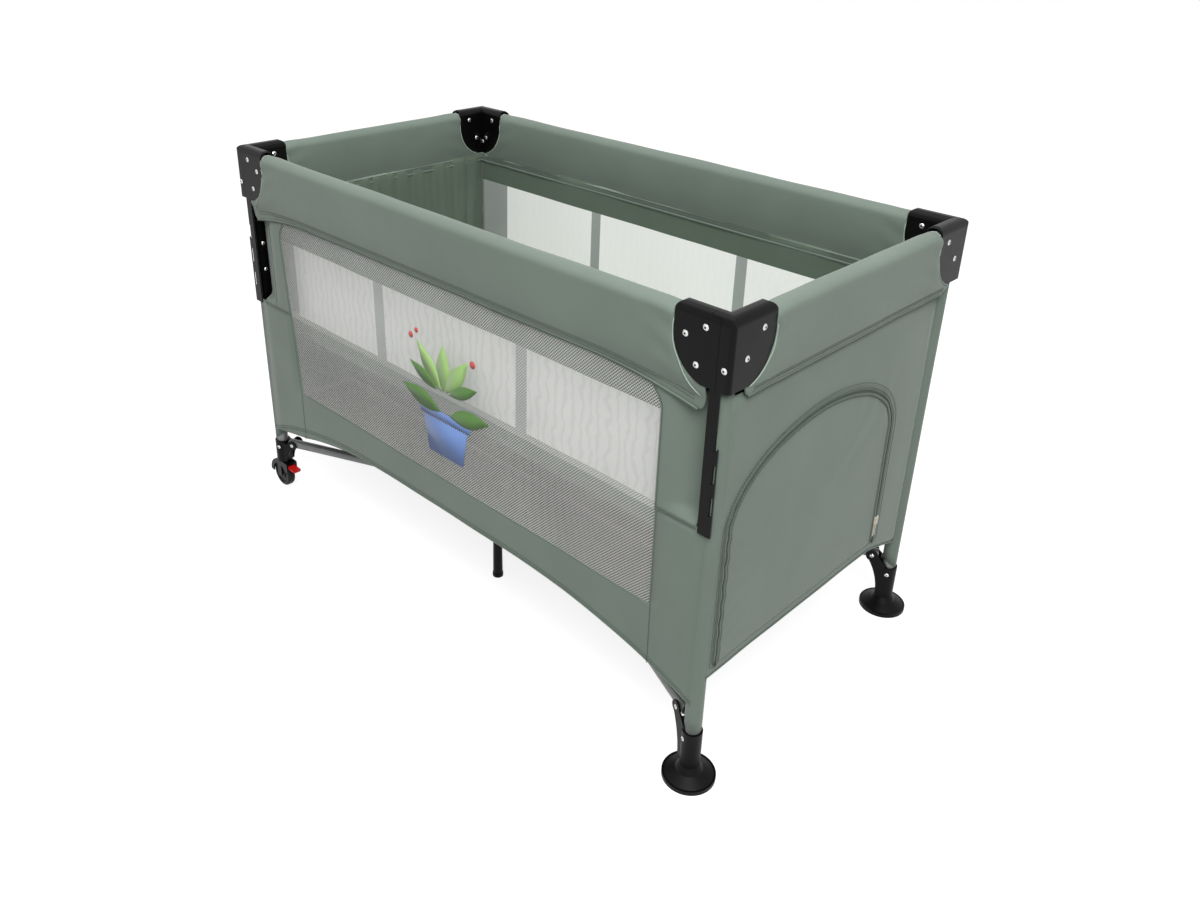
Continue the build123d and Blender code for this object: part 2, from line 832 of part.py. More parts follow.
def mattress():
    """Folding pad: crowned panels with drawn-in sides on one cloth."""
    base = basket_bottom + basket_cloth + part_gap
    half_x = basket_x - basket_cloth - mattress_margin
    half_y = basket_y - basket_cloth - mattress_margin
    panel = (2 * half_x - (mattress_panels - 1) * mattress_fold) / mattress_panels
    levels = [
        (mattress_tuck, 0.0),
        (0.0, mattress_height * mattress_waist),
        (mattress_tuck, mattress_height - mattress_crown),
        (panel * mattress_flat, mattress_height),
    ]
    sections = []
    for inset, rise in levels:
        size = Rectangle(panel - 2 * inset, 2 * half_y - 2 * inset)
        sections.append(Plane.XY.offset(base + rise) * size)
    pad = loft(sections, ruled=True)
    web_x = half_x - mattress_tuck
    web_y = half_y - mattress_tuck
    body = box((-web_x, web_x), (-web_y, web_y), (base, base + mattress_web))
    for n in range(mattress_panels):
        body += Pos(-half_x + panel / 2 + n * (panel + mattress_fold), 0, 0) * pad
    return body


corners = {
    "front_left": (False, False),
    "front_right": (True, False),
    "back_left": (False, True),
    "back_right": (True, True),
}
for corner, (right, back) in corners.items():
    keep("leg_" + corner, place(leg(socket_seat if right else castor_seat), right, back))
    keep("corner_" + corner, place(back_corner() if back else front_corner(), right, back))
    keep("base_tube_" + corner, place(base_tube(), right, back))
    if not back:
        side = "right" if right else "left"
        keep("track_" + side, place(track(), right, False))
        keep("front_carriage_" + side, place(front_carriage(), right, False))
    if right:
        keep("foot_bracket_" + corner, place(foot_bracket(), right, back))
    else:
        keep("castor_bracket_" + corner, place(castor_bracket(), right, back))
        keep("castor_fork_" + corner, place(castor_fork(), right, back))
        keep("castor_wheel_" + corner, place(castor_wheel(), right, back))
        keep("castor_brake_" + corner, place(brake_lever(), right, back))
    long_side = "back" if back else "front"
    end_side = "right" if right else "left"
    long_rail = Pos(-leg_x + corner_reach, -rail_y, rail_z) * rail(long_half)
    keep(long_side + "_rail_" + end_side, place(long_rail, right, back))
    short_rail = Pos(-rail_x, -leg_y + corner_reach, rail_z) * Rot(0, 0, 90) * rail(short_half)
    keep(end_side + "_rail_" + long_side, place(short_rail, right, back))

sides = {
    "front": Pos(0, -rail_y, rail_z),
    "back": Pos(0, rail_y, rail_z),
    "left": Pos(-rail_x, 0, rail_z) * Rot(0, 0, 90),
    "right": Pos(rail_x, 0, rail_z) * Rot(0, 0, 90),
}
long_cover = 2 * (leg_x - cap_arm - cover_end_gap)
short_cover = 2 * (leg_y - cap_arm - cover_end_gap)
covers = {
    "front": Pos(0, -rail_y, 0) * Rot(0, 0, 90) * cover_solid(long_cover),
    "back": Pos(0, rail_y, 0) * Rot(0, 0, 90) * cover_solid(long_cover),
    "left": Pos(-rail_x, 0, 0) * cover_solid(short_cover),
    "right": Pos(rail_x, 0, 0) * cover_solid(short_cover),
}
for side, spot in sides.items():
    keep(side + "_lock", spot * lock())
    keep(side + "_lock_button", spot * button())
    keep(side + "_cover", covers[side])

keep("hub", hub())
keep("hub_feet", hub_feet())
keep("front_wall", long_wall())
keep("front_net", net())
keep("back_wall", mirror(long_wall(), Plane.XZ))
keep("back_net", mirror(net(), Plane.XZ))
keep("right_wall", end_wall(True))
keep("left_wall", mirror(end_wall(False), Plane.YZ))
keep("door_flap", door())
keep("zip_slider", zip_slider())
keep("base_floor", base_floor())
keep("bassinet_walls", bassinet_walls())
keep("bassinet_floor", bassinet_floor())
keep("mattress", mattress())

os.makedirs("parts", exist_ok=True)
for name, shape in shapes.items():
    export_step(shape, "parts/" + name + ".step")
print(len(shapes), "nodes")
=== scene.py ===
"""Folding playpen: cloth, padding, mesh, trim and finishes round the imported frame."""

import cmath
import math
from contextlib import contextmanager

import bmesh
import bpy
import numpy as np
from bpy.props import FloatProperty, FloatVectorProperty, PointerProperty
from mathutils import Matrix, Vector


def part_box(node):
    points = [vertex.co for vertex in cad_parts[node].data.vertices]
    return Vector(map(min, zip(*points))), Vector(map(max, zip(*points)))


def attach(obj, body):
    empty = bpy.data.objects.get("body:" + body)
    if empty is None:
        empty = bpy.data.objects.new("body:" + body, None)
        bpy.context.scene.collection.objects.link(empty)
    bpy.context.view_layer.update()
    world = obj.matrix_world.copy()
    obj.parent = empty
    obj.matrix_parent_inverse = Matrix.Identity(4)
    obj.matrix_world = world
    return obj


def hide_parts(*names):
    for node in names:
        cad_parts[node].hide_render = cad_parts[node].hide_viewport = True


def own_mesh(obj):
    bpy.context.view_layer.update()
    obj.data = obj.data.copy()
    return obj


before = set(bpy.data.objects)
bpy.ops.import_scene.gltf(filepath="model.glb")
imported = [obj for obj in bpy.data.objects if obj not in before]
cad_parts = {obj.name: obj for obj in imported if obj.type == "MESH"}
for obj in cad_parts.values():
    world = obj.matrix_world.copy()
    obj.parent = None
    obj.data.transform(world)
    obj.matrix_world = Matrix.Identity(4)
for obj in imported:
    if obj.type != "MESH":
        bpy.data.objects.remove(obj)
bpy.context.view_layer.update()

bl_info = {
    "name": "Folding playpen",
    "version": (1, 0, 0),
    "blender": (4, 5, 0),
    "location": "View3D > Sidebar > Playpen",
    "description": "Dresses the packed playpen frame in cloth, mesh, padding and finishes",
    "category": "Object",
}


def linear(red, green, blue):
    """A colour as it is seen, from 0 to 255, in scene values."""
    values = []
    for part in (red, green, blue):
        share = part / 255
        values.append(share / 12.92 if share < 0.04045 else ((share + 0.055) / 1.055) ** 2.4)
    return tuple(values)


def middle(node):
    low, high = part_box(node)
    return (low + high) / 2


leg_x = middle("leg_front_right").x
leg_y = -middle("leg_front_right").y
rail_x = middle("right_cover").x
rail_y = middle("back_cover").y
wall_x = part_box("right_wall")[0].x
wall_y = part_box("back_wall")[0].y
cover_low, cover_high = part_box("front_cover")
basket_low, basket_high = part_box("bassinet_floor")
door_low, door_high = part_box("door_flap")
window_low, window_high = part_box("front_net")
corner_low, corner_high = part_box("corner_back_left")
cap_out = -leg_x - corner_low.x
cap_in = cap_out - 2 * (rail_x - leg_x)
cap_arm = corner_high.x + leg_x
cap_low = corner_low.z
cap_top = corner_high.z
cover_foot = cover_low.z
cover_overlap = 0.006
wall_top = cover_foot + cover_overlap
stitch_lift = 0.0006
hem_lift = 0.0008
pen_middle = (0, 0, 0.4)
long_sides = ("front", "back")
end_sides = ("left", "right")
all_sides = long_sides + end_sides


def length(title, about, value):
    return FloatProperty(name=title, description=about, default=value, min=0.0, unit="LENGTH", precision=4)


def tint(title, about, *rgb):
    return FloatVectorProperty(
        name=title, description=about, default=linear(*rgb), size=3, min=0.0, max=1.0, subtype="COLOR"
    )


class PlaypenSizes(bpy.types.PropertyGroup):
    """Sizes of the cloth and trim"""

    cloth: length("Cloth", "Thickness of the wall cloth", 0.0012)
    padding: length("Padding", "Thickness of the padded rail cover", 0.003)
    hem_corner: length("Hem at corner", "Height of the long walls' lower edge at the legs", 0.147)
    hem_middle: length("Hem at middle", "Height of the long walls' lower edge in the middle", 0.217)
    end_hem: length("End hem", "Height of the end walls' lower edge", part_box("left_wall")[0].z)
    end_dip: length("End dip", "How far the right wall's lower edge drops to the back leg", 0.050)
    cover_sag: length("Cover sag", "How far the front cover's lower edge drops at its ends", 0.021)
    split: length("Wall split", "Height of the seam that parts the long walls where the side drops", 0.455)
    mesh_pitch: length("Mesh pitch", "Spacing of the mesh's strands", 0.0052)
    mesh_strand: length("Mesh strand", "Width of one strand of the mesh", 0.0008)
    sleeve: length("Sleeve radius", "Radius of the cloth sleeve round a leg", 0.0136)
    sleeve_left: length("Left sleeve foot", "Height of the left leg sleeves' lower end", 0.120)
    sleeve_right: length("Right sleeve foot", "Height of the right leg sleeves' lower end", 0.094)
    piping: length("Piping radius", "Radius of the sewn edge cord", 0.0015)
    cover_half: length("Cover half width", "Half the width of a stuffed rail cover", 0.0174)
    cover_tuck: length("Cover tuck", "Half the width of a rail cover inside the corner housings", 0.0122)
    track_tuck: length("Track tuck", "Depth to which the front wall is drawn in beside its tracks", 0.018)
    stitch: length("Stitch", "Length of one stitch", 0.0030)
    stitch_pitch: length("Stitch pitch", "Spacing of the stitches", 0.0046)
    screw: length("Screw head", "Radius of a screw head", 0.0046)
    folded_x: length("Folded length", "Distance of the legs along the long side when folded", 0.2504)
    folded_y: length("Folded width", "Distance of the legs along the short side when folded", 0.2014)


class PlaypenColours(bpy.types.PropertyGroup):
    """Colours of the finishes"""

    cloth: tint("Cloth", "Grey green polyester", 108, 121, 111)
    # Partly the band's own darker green and partly painted shade: the wall cloth as it looks in the shade
    # inside the bassinet.
    inner: tint("Lining", "Darker green of the bassinet's band", 82, 96, 82)
    # The seam colour also paints the shadow lines under the rail covers' hems.
    seam: tint("Seam", "Thread and seam lines", 80, 93, 84)
    # The pale edge colour also paints the highlight on the rail covers' rolled edges round the corner
    # housings.
    edge: tint("Edge cord", "Pale edge cord at the rail covers", 156, 171, 160)
    mesh: tint("Mesh", "Pale grey knitted mesh", 232, 234, 231)
    strip: tint("Strip", "Grey strips between the pale panels", 154, 159, 156)
    panel: tint("Panel", "White panels of the bassinet", 249, 249, 246)
    pad: tint("Pad", "Cloth of the mattress", 128, 143, 133)
    plastic: tint("Plastic", "Satin black plastic", 8, 8, 8)
    tube: tint("Tube", "Grey painted tube", 128, 131, 130)
    red: tint("Red", "Brake lever", 196, 28, 30)
    zinc: tint("Zinc", "Screw heads", 214, 214, 212)
    cream: tint("Cream", "Zip pull", 214, 206, 186)


def sizes():
    return bpy.context.scene.playpen_sizes


def colours():
    return bpy.context.scene.playpen_colours


def ripple(a, b, seed):
    """Broad uneven waves between -1 and 1, over two lengths in metres."""
    waves = math.sin(11.3 * a + 5.1 * b + seed) + 0.6 * math.sin(23.7 * a - 9.2 * b + 2.1 * seed)
    return (waves + 0.35 * math.sin(41 * a + 17 * b + 0.7 * seed)) / 1.95


def ease(value, low, high):
    """0 below low, 1 above high and smooth between."""
    share = min(1.0, max(0.0, (value - low) / (high - low)))
    return share * share * (3 - 2 * share)


def zone(value, start, full, fading, end):
    """1 from full to fading, 0 before start and after end, and smooth between."""
    return ease(value, start, full) * (1 - ease(value, fading, end))


def lines(start, end, step, *fixed):
    """Places from start to end about a step apart, with the fixed ones among them."""
    stops = sorted({start, end, *[f for f in fixed if start < f < end]})
    places = [stops[0]]
    for low, high in zip(stops, stops[1:]):
        count = max(1, round((high - low) / step))
        places += [low + (high - low) * n / count for n in range(1, count + 1)]
    return places


def place(side, along, out, z):
    """A point on one side: along it to the right as seen from outside, and outwards from the middle."""
    if side == "front":
        return (along, -out, z)
    if side == "back":
        return (-along, out, z)
    if side == "right":
        return (out, along, z)
    return (-out, -along, z)


def long_side(side):
    return side in long_sides


def half_span(side):
    """Half the distance between a side's two legs."""
    return leg_x if long_side(side) else leg_y


def corners():
    """Each leg's name, with the ways along x and y in which it stands."""
    for right in (-1, 1):
        for back in (-1, 1):
            name = ("back" if back > 0 else "front") + "_" + ("right" if right > 0 else "left")
            yield name, right, back


# Materials


def add(tree, kind, **inputs):
    node = tree.nodes.new(kind)
    for name, value in inputs.items():
        node.inputs[name.replace("_", " ")].default_value = value
    return node


def wire(tree, source, output, target, name):
    tree.links.new(source.outputs[output], target.inputs[name])


def fed(tree, kind, **sources):
    """A new node whose inputs come from other nodes, each given as a node and its output."""
    node = tree.nodes.new(kind)
    for name, (source, output) in sources.items():
        wire(tree, source, output, node, name.replace("_", " "))
    return node


def sums(tree, operation, *sources):
    """A calculation with one or two sources, each a node and its output."""
    node = tree.nodes.new("ShaderNodeMath")
    node.operation = operation
    for n, (source, output) in enumerate(sources):
        wire(tree, source, output, node, n)
    return node


def plain_shader(name, colour, rough, **inputs):
    """A material, its tree, its shader and its coordinates."""
    made = bpy.data.materials.new(name)
    made.use_nodes = True
    tree = made.node_tree
    shader = tree.nodes["Principled BSDF"]
    for title, value in {"Base_Color": (*colour, 1), "Roughness": rough, **inputs}.items():
        shader.inputs[title.replace("_", " ")].default_value = value
    return made, tree, shader, tree.nodes.new("ShaderNodeTexCoord")


def noise(tree, coords, scale, detail):
    node = add(tree, "ShaderNodeTexNoise", Scale=scale, Detail=detail)
    wire(tree, coords, "Object", node, "Vector")
    return node


def bands(tree, coords, direction, **inputs):
    node = add(tree, "ShaderNodeTexWave", **inputs)
    node.bands_direction = direction
    wire(tree, coords, "UV", node, "Vector")
    return node


def tinted(tree, source, colour, stops, shader):
    """The shader's colour: a colour times the share at each of two stops of a source."""
    ramp = tree.nodes.new("ShaderNodeValToRGB")
    for element, (position, share) in zip(ramp.color_ramp.elements, stops):
        element.position = position
        element.color = (*[min(1, c * share) for c in colour], 1)
    wire(tree, source, "Fac", ramp, "Fac")
    wire(tree, ramp, "Color", shader, "Base Color")


def tone(tree, shader, coords, colour, scale, spread):
    """Uneven tone: the colour a little darker and lighter in soft patches."""
    tinted(tree, noise(tree, coords, scale, 3.0), colour, ((0.3, 1 - spread), (0.7, 1 + spread)), shader)


def bump(tree, source, output, strength, distance, onto):
    """Relief from a source, given to another node as its normal."""
    node = add(tree, "ShaderNodeBump", Strength=strength, Distance=distance)
    wire(tree, source, output, node, "Height")
    wire(tree, node, "Normal", onto, "Normal")
    return node


def cloth_finish(name, colour, pitch=0.0013, rough=0.62, sheen=0.18, crinkle=0.0010):
    """Woven cloth: fine weave along the piece's own map, soft crinkles and an uneven tone."""
    soft = {"Sheen_Weight": sheen, "Sheen_Roughness": 0.45, "Specular_IOR_Level": 0.35}
    made, tree, shader, coords = plain_shader(name, colour, rough, **soft)
    tone(tree, shader, coords, colour, 7.0, 0.06)
    weave = [(bands(tree, coords, way, Scale=0.314 / pitch), "Fac") for way in ("X", "Y")]
    crinkles = bump(tree, noise(tree, coords, 34.0, 5.0), "Fac", 0.35, crinkle, shader)
    bump(tree, sums(tree, "MULTIPLY", *weave), "Value", 0.25, 0.00025, crinkles)
    return made


def paint_shade(made, start, end, share):
    """Paints shade into a cloth's colour across its map: darker from one height to another."""
    tree = made.node_tree
    shader = tree.nodes["Principled BSDF"]
    colour = shader.inputs["Base Color"].links[0].from_socket
    split = tree.nodes.new("ShaderNodeSeparateXYZ")
    wire(tree, tree.nodes.new("ShaderNodeTexCoord"), "UV", split, 0)
    fade = add(tree, "ShaderNodeMapRange", From_Min=start, From_Max=end, To_Min=1.0, To_Max=share)
    wire(tree, split, "Y", fade, "Value")
    dim = tree.nodes.new("ShaderNodeVectorMath")
    dim.operation = "SCALE"
    tree.links.new(colour, dim.inputs[0])
    wire(tree, fade, "Result", dim, "Scale")
    wire(tree, dim, "Vector", shader, "Base Color")
    return made


def moulded_finish(name, colour, rough, grain=900.0):
    """Moulded plastic: fine grain, with patches that are rubbed smoother."""
    made, tree, shader, coords = plain_shader(name, colour, rough, Specular_IOR_Level=0.12)
    tone(tree, shader, coords, colour, 30.0, 0.12)
    spread = add(tree, "ShaderNodeMapRange", To_Min=rough - 0.07, To_Max=rough + 0.09)
    wire(tree, noise(tree, coords, 45.0, 4.0), "Fac", spread, "Value")
    wire(tree, spread, "Result", shader, "Roughness")
    bump(tree, noise(tree, coords, grain, 2.0), "Fac", 0.3, 0.00012, shader)
    return made


def panel_finish(name, colour, crease_shade):
    """White open-knit panel: a little light passes, with painted shade in faint wavy creased bands."""
    made, tree, shader, coords = plain_shader(name, colour, 0.75, Alpha=0.97, Sheen_Weight=0.2)
    # Painted shade: the colour darkens along wavy bands where the panel is creased.
    crease_shade_bands = bands(tree, coords, "X", Scale=17.0, Distortion=6.0, Detail=2.0, Detail_Scale=1.6)
    tinted(tree, crease_shade_bands, colour, ((0.0, crease_shade), (0.45, 1.0)), shader)
    bump(tree, bands(tree, coords, "Y", Scale=120.0), "Fac", 0.3, 0.0003, shader)
    return made


def metal_finish(name, colour, rough, metal):
    """Painted or plated metal with an uneven tone."""
    made, tree, shader, coords = plain_shader(name, colour, rough, Metallic=metal)
    tone(tree, shader, coords, colour, 60.0, 0.08)
    bump(tree, noise(tree, coords, 700.0, 2.0), "Fac", 0.15, 0.00008, shader)
    return made


def finish(name):
    """A finish by its plain name, made when it is first asked for."""
    found = bpy.data.materials.get(name)
    if found is not None:
        return found
    c = colours()
    makers = {
        "wall_cloth": lambda: cloth_finish(name, c.cloth),
        # Painted shade: the rail covers' cloth darkens on the lower part of its inner face, towards the
        # inner hem.
        "cover_cloth": lambda: paint_shade(cloth_finish(name, c.cloth, crinkle=0.0014), 0.155, 0.225, 0.66),
        # Painted shade in part: this darker green dresses the bassinet's band and floor and the base
        # floor.
        "shaded_lining_cloth": lambda: cloth_finish(name, c.inner, rough=0.7),
        "pad_cloth": lambda: cloth_finish(name, c.pad, rough=0.7, crinkle=0.002),
        # Thread of the stitches; the same finish paints the shadow lines under the rail covers' hems.
        "thread": lambda: cloth_finish(name, c.seam, rough=0.8, sheen=0.05),
        # Pale cords; round the corner housings they paint the highlight on the covers' rolled edges.
        "pale_cord_and_highlight": lambda: cloth_finish(name, c.edge, rough=0.7),
        "zip_tape": lambda: cloth_finish(name, [0.82 * v for v in c.cloth], pitch=0.0009, rough=0.75),
        "zip_teeth": lambda: moulded_finish(name, linear(66, 80, 70), 0.5),
        "mesh_yarn": lambda: cloth_finish(name, c.mesh, pitch=0.0006, rough=0.8, sheen=0.1),
        "strip_knit": lambda: cloth_finish(name, c.strip, pitch=0.0028, rough=0.8, sheen=0.1),
        # Both panels carry painted shade in creased bands, the front one's deeper.
        "white_panel": lambda: panel_finish(name, c.panel, 0.985),
        "crease_shaded_panel": lambda: panel_finish(name, c.panel, 0.86),
        "housing_plastic": lambda: moulded_finish(name, c.plastic, 0.30),
        "track_plastic": lambda: moulded_finish(name, [0.8 * v for v in c.plastic], 0.3),
        "bracket_plastic": lambda: moulded_finish(name, c.plastic, 0.42),
        "wheel_plastic": lambda: moulded_finish(name, linear(34, 35, 33), 0.45, grain=400.0),
        "lever_plastic": lambda: moulded_finish(name, c.red, 0.3),
        "button_plastic": lambda: moulded_finish(name, linear(150, 40, 38), 0.4),
        "tube_paint": lambda: metal_finish(name, c.tube, 0.38, 0.25),
        "screw_zinc": lambda: metal_finish(name, c.zinc, 0.28, 0.85),
        # The recess's dark metal is painted shade of the hollow.
        "screw_recess_shade": lambda: metal_finish(name, linear(52, 52, 52), 0.5, 0.6),
        "zip_pull": lambda: moulded_finish(name, c.cream, 0.45),
        "leaf_light": lambda: cloth_finish(name, linear(158, 196, 120), pitch=0.003, rough=0.8),
        "leaf_dark": lambda: cloth_finish(name, linear(88, 128, 66), pitch=0.003, rough=0.8),
        "pot_blue": lambda: cloth_finish(name, linear(112, 140, 196), pitch=0.003, rough=0.8),
        "berry_red": lambda: cloth_finish(name, linear(206, 84, 78), pitch=0.003, rough=0.8),
    }
    return makers[name]()


def looked_at(tree, kind, lit, shown):
    """Ends a tree: shown for rays from the camera or by way of gloss or glass, lit for all others."""
    path = tree.nodes.new("ShaderNodeLightPath")
    seen = (path, "Is Camera Ray")
    for ray in ("Is Transmission Ray", "Is Glossy Ray"):
        seen = (sums(tree, "MAXIMUM", seen, (path, ray)), 0)
    mix = tree.nodes.new("ShaderNodeMixShader")
    wire(tree, *seen, mix, 0)
    wire(tree, lit, 0, mix, 1)
    wire(tree, shown, 0, mix, 2)
    wire(tree, mix, 0, tree.nodes.new(kind), "Surface")


# Building


def added(name, data):
    """A new object at the origin, in the scene."""
    piece = bpy.data.objects.new(name, data)
    bpy.context.scene.collection.objects.link(piece)
    return piece


@contextmanager
def shaping(mesh):
    """A mesh opened for work on its faces, and written back."""
    shape = bmesh.new()
    shape.from_mesh(mesh)
    yield shape
    shape.to_mesh(mesh)
    shape.free()


def evaluated(piece):
    """The piece as its modifiers leave it."""
    return piece.evaluated_get(bpy.context.evaluated_depsgraph_get())


def dressed(mesh, material):
    """A mesh in one finish only."""
    mesh.materials.clear()
    mesh.materials.append(finish(material))


def mapped(mesh, places):
    """The cloth map of a mesh, from each point's place on the flat cloth."""
    layer = mesh.uv_layers.new(name="cloth")
    corner = np.zeros(len(mesh.loops), np.int32)
    mesh.loops.foreach_get("vertex_index", corner)
    layer.data.foreach_set("uv", np.array(places, np.float32)[corner].ravel())


def quads(rows, columns, round_rows=False, round_columns=False):
    """Faces of a field of points numbered row by row; round joins its last row or column to the first."""
    faces = []
    for row in range(rows if round_rows else rows - 1):
        after = (row + 1) % rows * columns
        for column in range(columns if round_columns else columns - 1):
            beside = (column + 1) % columns
            faces.append((row * columns + column, row * columns + beside, after + beside, after + column))
    return faces


def build(name, points, faces, materials, uvs=None, slots=None):
    """A mesh piece at the origin, with its cloth map and materials."""
    used = sorted({v for face in faces for v in face})
    renumber = {old: new for new, old in enumerate(used)}
    mesh = bpy.data.meshes.new(name)
    mesh.from_pydata([points[v] for v in used], [], [[renumber[v] for v in face] for face in faces])
    if uvs is not None:
        mapped(mesh, [uvs[v] for v in used])
    for material in materials:
        mesh.materials.append(finish(material))
    if slots is not None:
        mesh.polygons.foreach_set("material_index", np.array(slots, np.int32))
    mesh.shade_smooth()
    mesh.update()
    return added(name, mesh)


def grid(name, us, vs, point, materials, keep=None, slot_of=None):
    """A sheet of quads over two rows of places, without the quads that keep turns down."""
    points = [point(u, v) for v in vs for u in us]
    uvs = [(u, v) for v in vs for u in us]
    wide = len(us)
    faces = []
    slots = []
    for row in range(len(vs) - 1):
        for column in range(wide - 1):
            u = (us[column] + us[column + 1]) / 2
            v = (vs[row] + vs[row + 1]) / 2
            if keep is None or keep(u, v):
                first = row * wide + column
                faces.append((first, first + 1, first + wide + 1, first + wide))
                slots.append(slot_of(u, v) if slot_of else 0)
    return build(name, points, faces, materials, uvs, slots)


def thicken(piece, thickness):
    """Cloth thickness, added on the inside."""
    solid = piece.modifiers.new("thickness", "SOLIDIFY")
    solid.thickness = thickness
    solid.offset = -1.0
    solid.use_even_offset = True
    return piece


def tube(name, path, radius, material, sides=6, closed=False):
    """A round cord swept along a path, with capped ends."""
    path = [Vector(p) for p in path]
    count = len(path)
    points = []
    uvs = []
    run = 0.0
    for n, centre in enumerate(path):
        ahead = path[(n + 1) % count] if closed or n + 1 < count else centre
        behind = path[n - 1] if closed or n > 0 else centre
        along = (ahead - behind).normalized()
        across = along.cross(Vector((0, 0, 1)))
        if across.length < 0.15:
            across = along.cross(Vector((1, 0, 0)))
        across.normalize()
        up = across.cross(along)
        if n:
            run += (centre - path[n - 1]).length
        for k in range(sides):
            angle = 2 * math.pi * k / sides
            points.append(tuple(centre + radius * (math.cos(angle) * across + math.sin(angle) * up)))
            uvs.append((run, radius * angle))
    faces = quads(count, sides, closed, True)
    if not closed:
        faces.append(tuple(range(sides - 1, -1, -1)))
        faces.append(tuple((count - 1) * sides + k for k in range(sides)))
    piece = build(name, points, faces, [material], uvs)
    outward(piece)
    return piece


def outward(piece):
    """Turns the faces of a closed piece outwards."""
    with shaping(piece.data) as shape:
        bmesh.ops.recalc_face_normals(shape, faces=shape.faces)


def outward_from(piece, point):
    """Turns faces that look towards a point, so that all look away from it."""
    with shaping(piece.data) as shape:
        turned = [f for f in shape.faces if f.normal.dot(f.calc_center_median() - Vector(point)) < 0]
        bmesh.ops.reverse_faces(shape, faces=turned)


def joined(name, pieces):
    """Several pieces of one body as one piece."""
    whole = bmesh.new()
    materials = []
    for piece in pieces:
        first = len(whole.faces)
        offset = []
        for material in piece.data.materials:
            if material not in materials:
                materials.append(material)
            offset.append(materials.index(material))
        whole.from_mesh(piece.data)
        whole.faces.ensure_lookup_table()
        for face in whole.faces[first:]:
            face.material_index = offset[face.material_index]
    mesh = bpy.data.meshes.new(name)
    whole.to_mesh(mesh)
    whole.free()
    for material in materials:
        mesh.materials.append(material)
    for piece in pieces:
        old = piece.data
        bpy.data.objects.remove(piece)
        bpy.data.meshes.remove(old)
    return added(name, mesh)


def copied(name, node, material):
    """A piece with the shape of one of the frame's own pieces."""
    shape = bmesh.new()
    shape.from_mesh(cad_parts[node].data)
    bmesh.ops.remove_doubles(shape, verts=shape.verts, dist=0.00001)
    mesh = bpy.data.meshes.new(name)
    shape.to_mesh(mesh)
    shape.free()
    dressed(mesh, material)
    return added(name, mesh)


side_body = {
    "front": "leg_front_left",
    "back": "leg_back_left",
    "left": "leg_front_left",
    "right": "leg_front_right",
}
side_anchor = {
    "front": (-leg_x, -leg_y, 0),
    "back": (-leg_x, leg_y, 0),
    "left": (-leg_x, -leg_y, 0),
    "right": (leg_x, -leg_y, 0),
}


def upper_body(side):
    """What a side's upper cloth rides on, where it isn't the leg: the front's slides with its rail."""
    return "front_carriage_left" if side == "front" else None


def carried(piece, body):
    """The piece moves with one body."""
    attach(piece, body)


def hang(piece, side, body=None, inset=0.0):
    """The piece rides on its side's leg or on a body."""
    carried(piece, body or side_body[side])
    span, folded = (2 * leg_x, sizes().folded_x) if long_side(side) else (2 * leg_y, sizes().folded_y)
    axis = (1, 0, 0) if long_side(side) else (0, 1, 0)
    anchor = Vector(side_anchor[side]) + inset * Vector(axis)
    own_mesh(piece)


def hung(piece, thickness, side, slot="cloth_green", body=None):
    """A sheet, given its thickness and hung on one side."""
    thicken(piece, thickness)
    hang(piece, side, body)


# Geometry Nodes


def new_tree(name, floats, materials):
    """An empty node tree with named inputs, and its input and output nodes."""
    tree = bpy.data.node_groups.new(name, "GeometryNodeTree")
    tree.interface.new_socket("Geometry", in_out="INPUT", socket_type="NodeSocketGeometry")
    tree.interface.new_socket("Geometry", in_out="OUTPUT", socket_type="NodeSocketGeometry")
    for title in floats:
        tree.interface.new_socket(title, in_out="INPUT", socket_type="NodeSocketFloat")
    for title in materials:
        tree.interface.new_socket(title, in_out="INPUT", socket_type="NodeSocketMaterial")
    return tree, tree.nodes.new("NodeGroupInput"), tree.nodes.new("NodeGroupOutput")


def scaled(tree, source, output, factor):
    node = sums(tree, "MULTIPLY", (source, output))
    node.inputs[1].default_value = factor
    return node


def painted(tree, shape, given, material):
    """A shape, given as a node and its output, in one of the tree's materials."""
    return fed(tree, "GeometryNodeSetMaterial", Geometry=shape, Material=(given, material))


def settle(tree, instances, given, material, out):
    """Ends a tree: real faces in the given material, where they have none yet."""
    last = fed(tree, "GeometryNodeRealizeInstances", Geometry=(instances, "Instances"))
    if material is not None:
        last = painted(tree, (last, "Geometry"), given, material)
    wire(tree, last, "Geometry", out, "Geometry")


def facing_along(tree, axis, source, output):
    """A turn that points an axis the way of a source."""
    turn = fed(tree, "FunctionNodeAlignRotationToVector", Vector=(source, output))
    turn.axis = axis
    return turn, "Rotation"


def net_tree():
    """Crossed strands on a flat grid, which join up to a net."""
    tree, given, out = new_tree("playpen_net", ("Width", "Height", "Pitch", "Strand"), ("Yarn",))
    field = tree.nodes.new("GeometryNodeMeshGrid")
    for side, axis in (("Width", "X"), ("Height", "Y")):
        wire(tree, given, side, field, "Size " + axis)
        count = sums(tree, "DIVIDE", (given, side), (given, "Pitch"))
        more = sums(tree, "ADD", (count, 0))
        more.inputs[1].default_value = 1.0
        wire(tree, more, 0, field, "Vertices " + axis)
    both = tree.nodes.new("GeometryNodeJoinGeometry")
    overlap = 1.02
    crossing = 0.00015
    reach = scaled(tree, given, "Pitch", math.sqrt(2) * overlap)
    for turn in (-1, 1):
        strand = add(tree, "GeometryNodeMeshGrid", Vertices_X=2, Vertices_Y=2)
        wire(tree, reach, 0, strand, "Size X")
        wire(tree, given, "Strand", strand, "Size Y")
        turned = fed(tree, "GeometryNodeTransform", Geometry=(strand, "Mesh"))
        turned.inputs["Rotation"].default_value = (0, 0, turn * math.pi / 4)
        turned.inputs["Translation"].default_value = (0, 0, turn * crossing)
        wire(tree, turned, "Geometry", both, "Geometry")
    spread = fed(tree, "GeometryNodeInstanceOnPoints", Points=(field, "Mesh"), Instance=(both, "Geometry"))
    settle(tree, spread, given, "Yarn", out)
    return tree


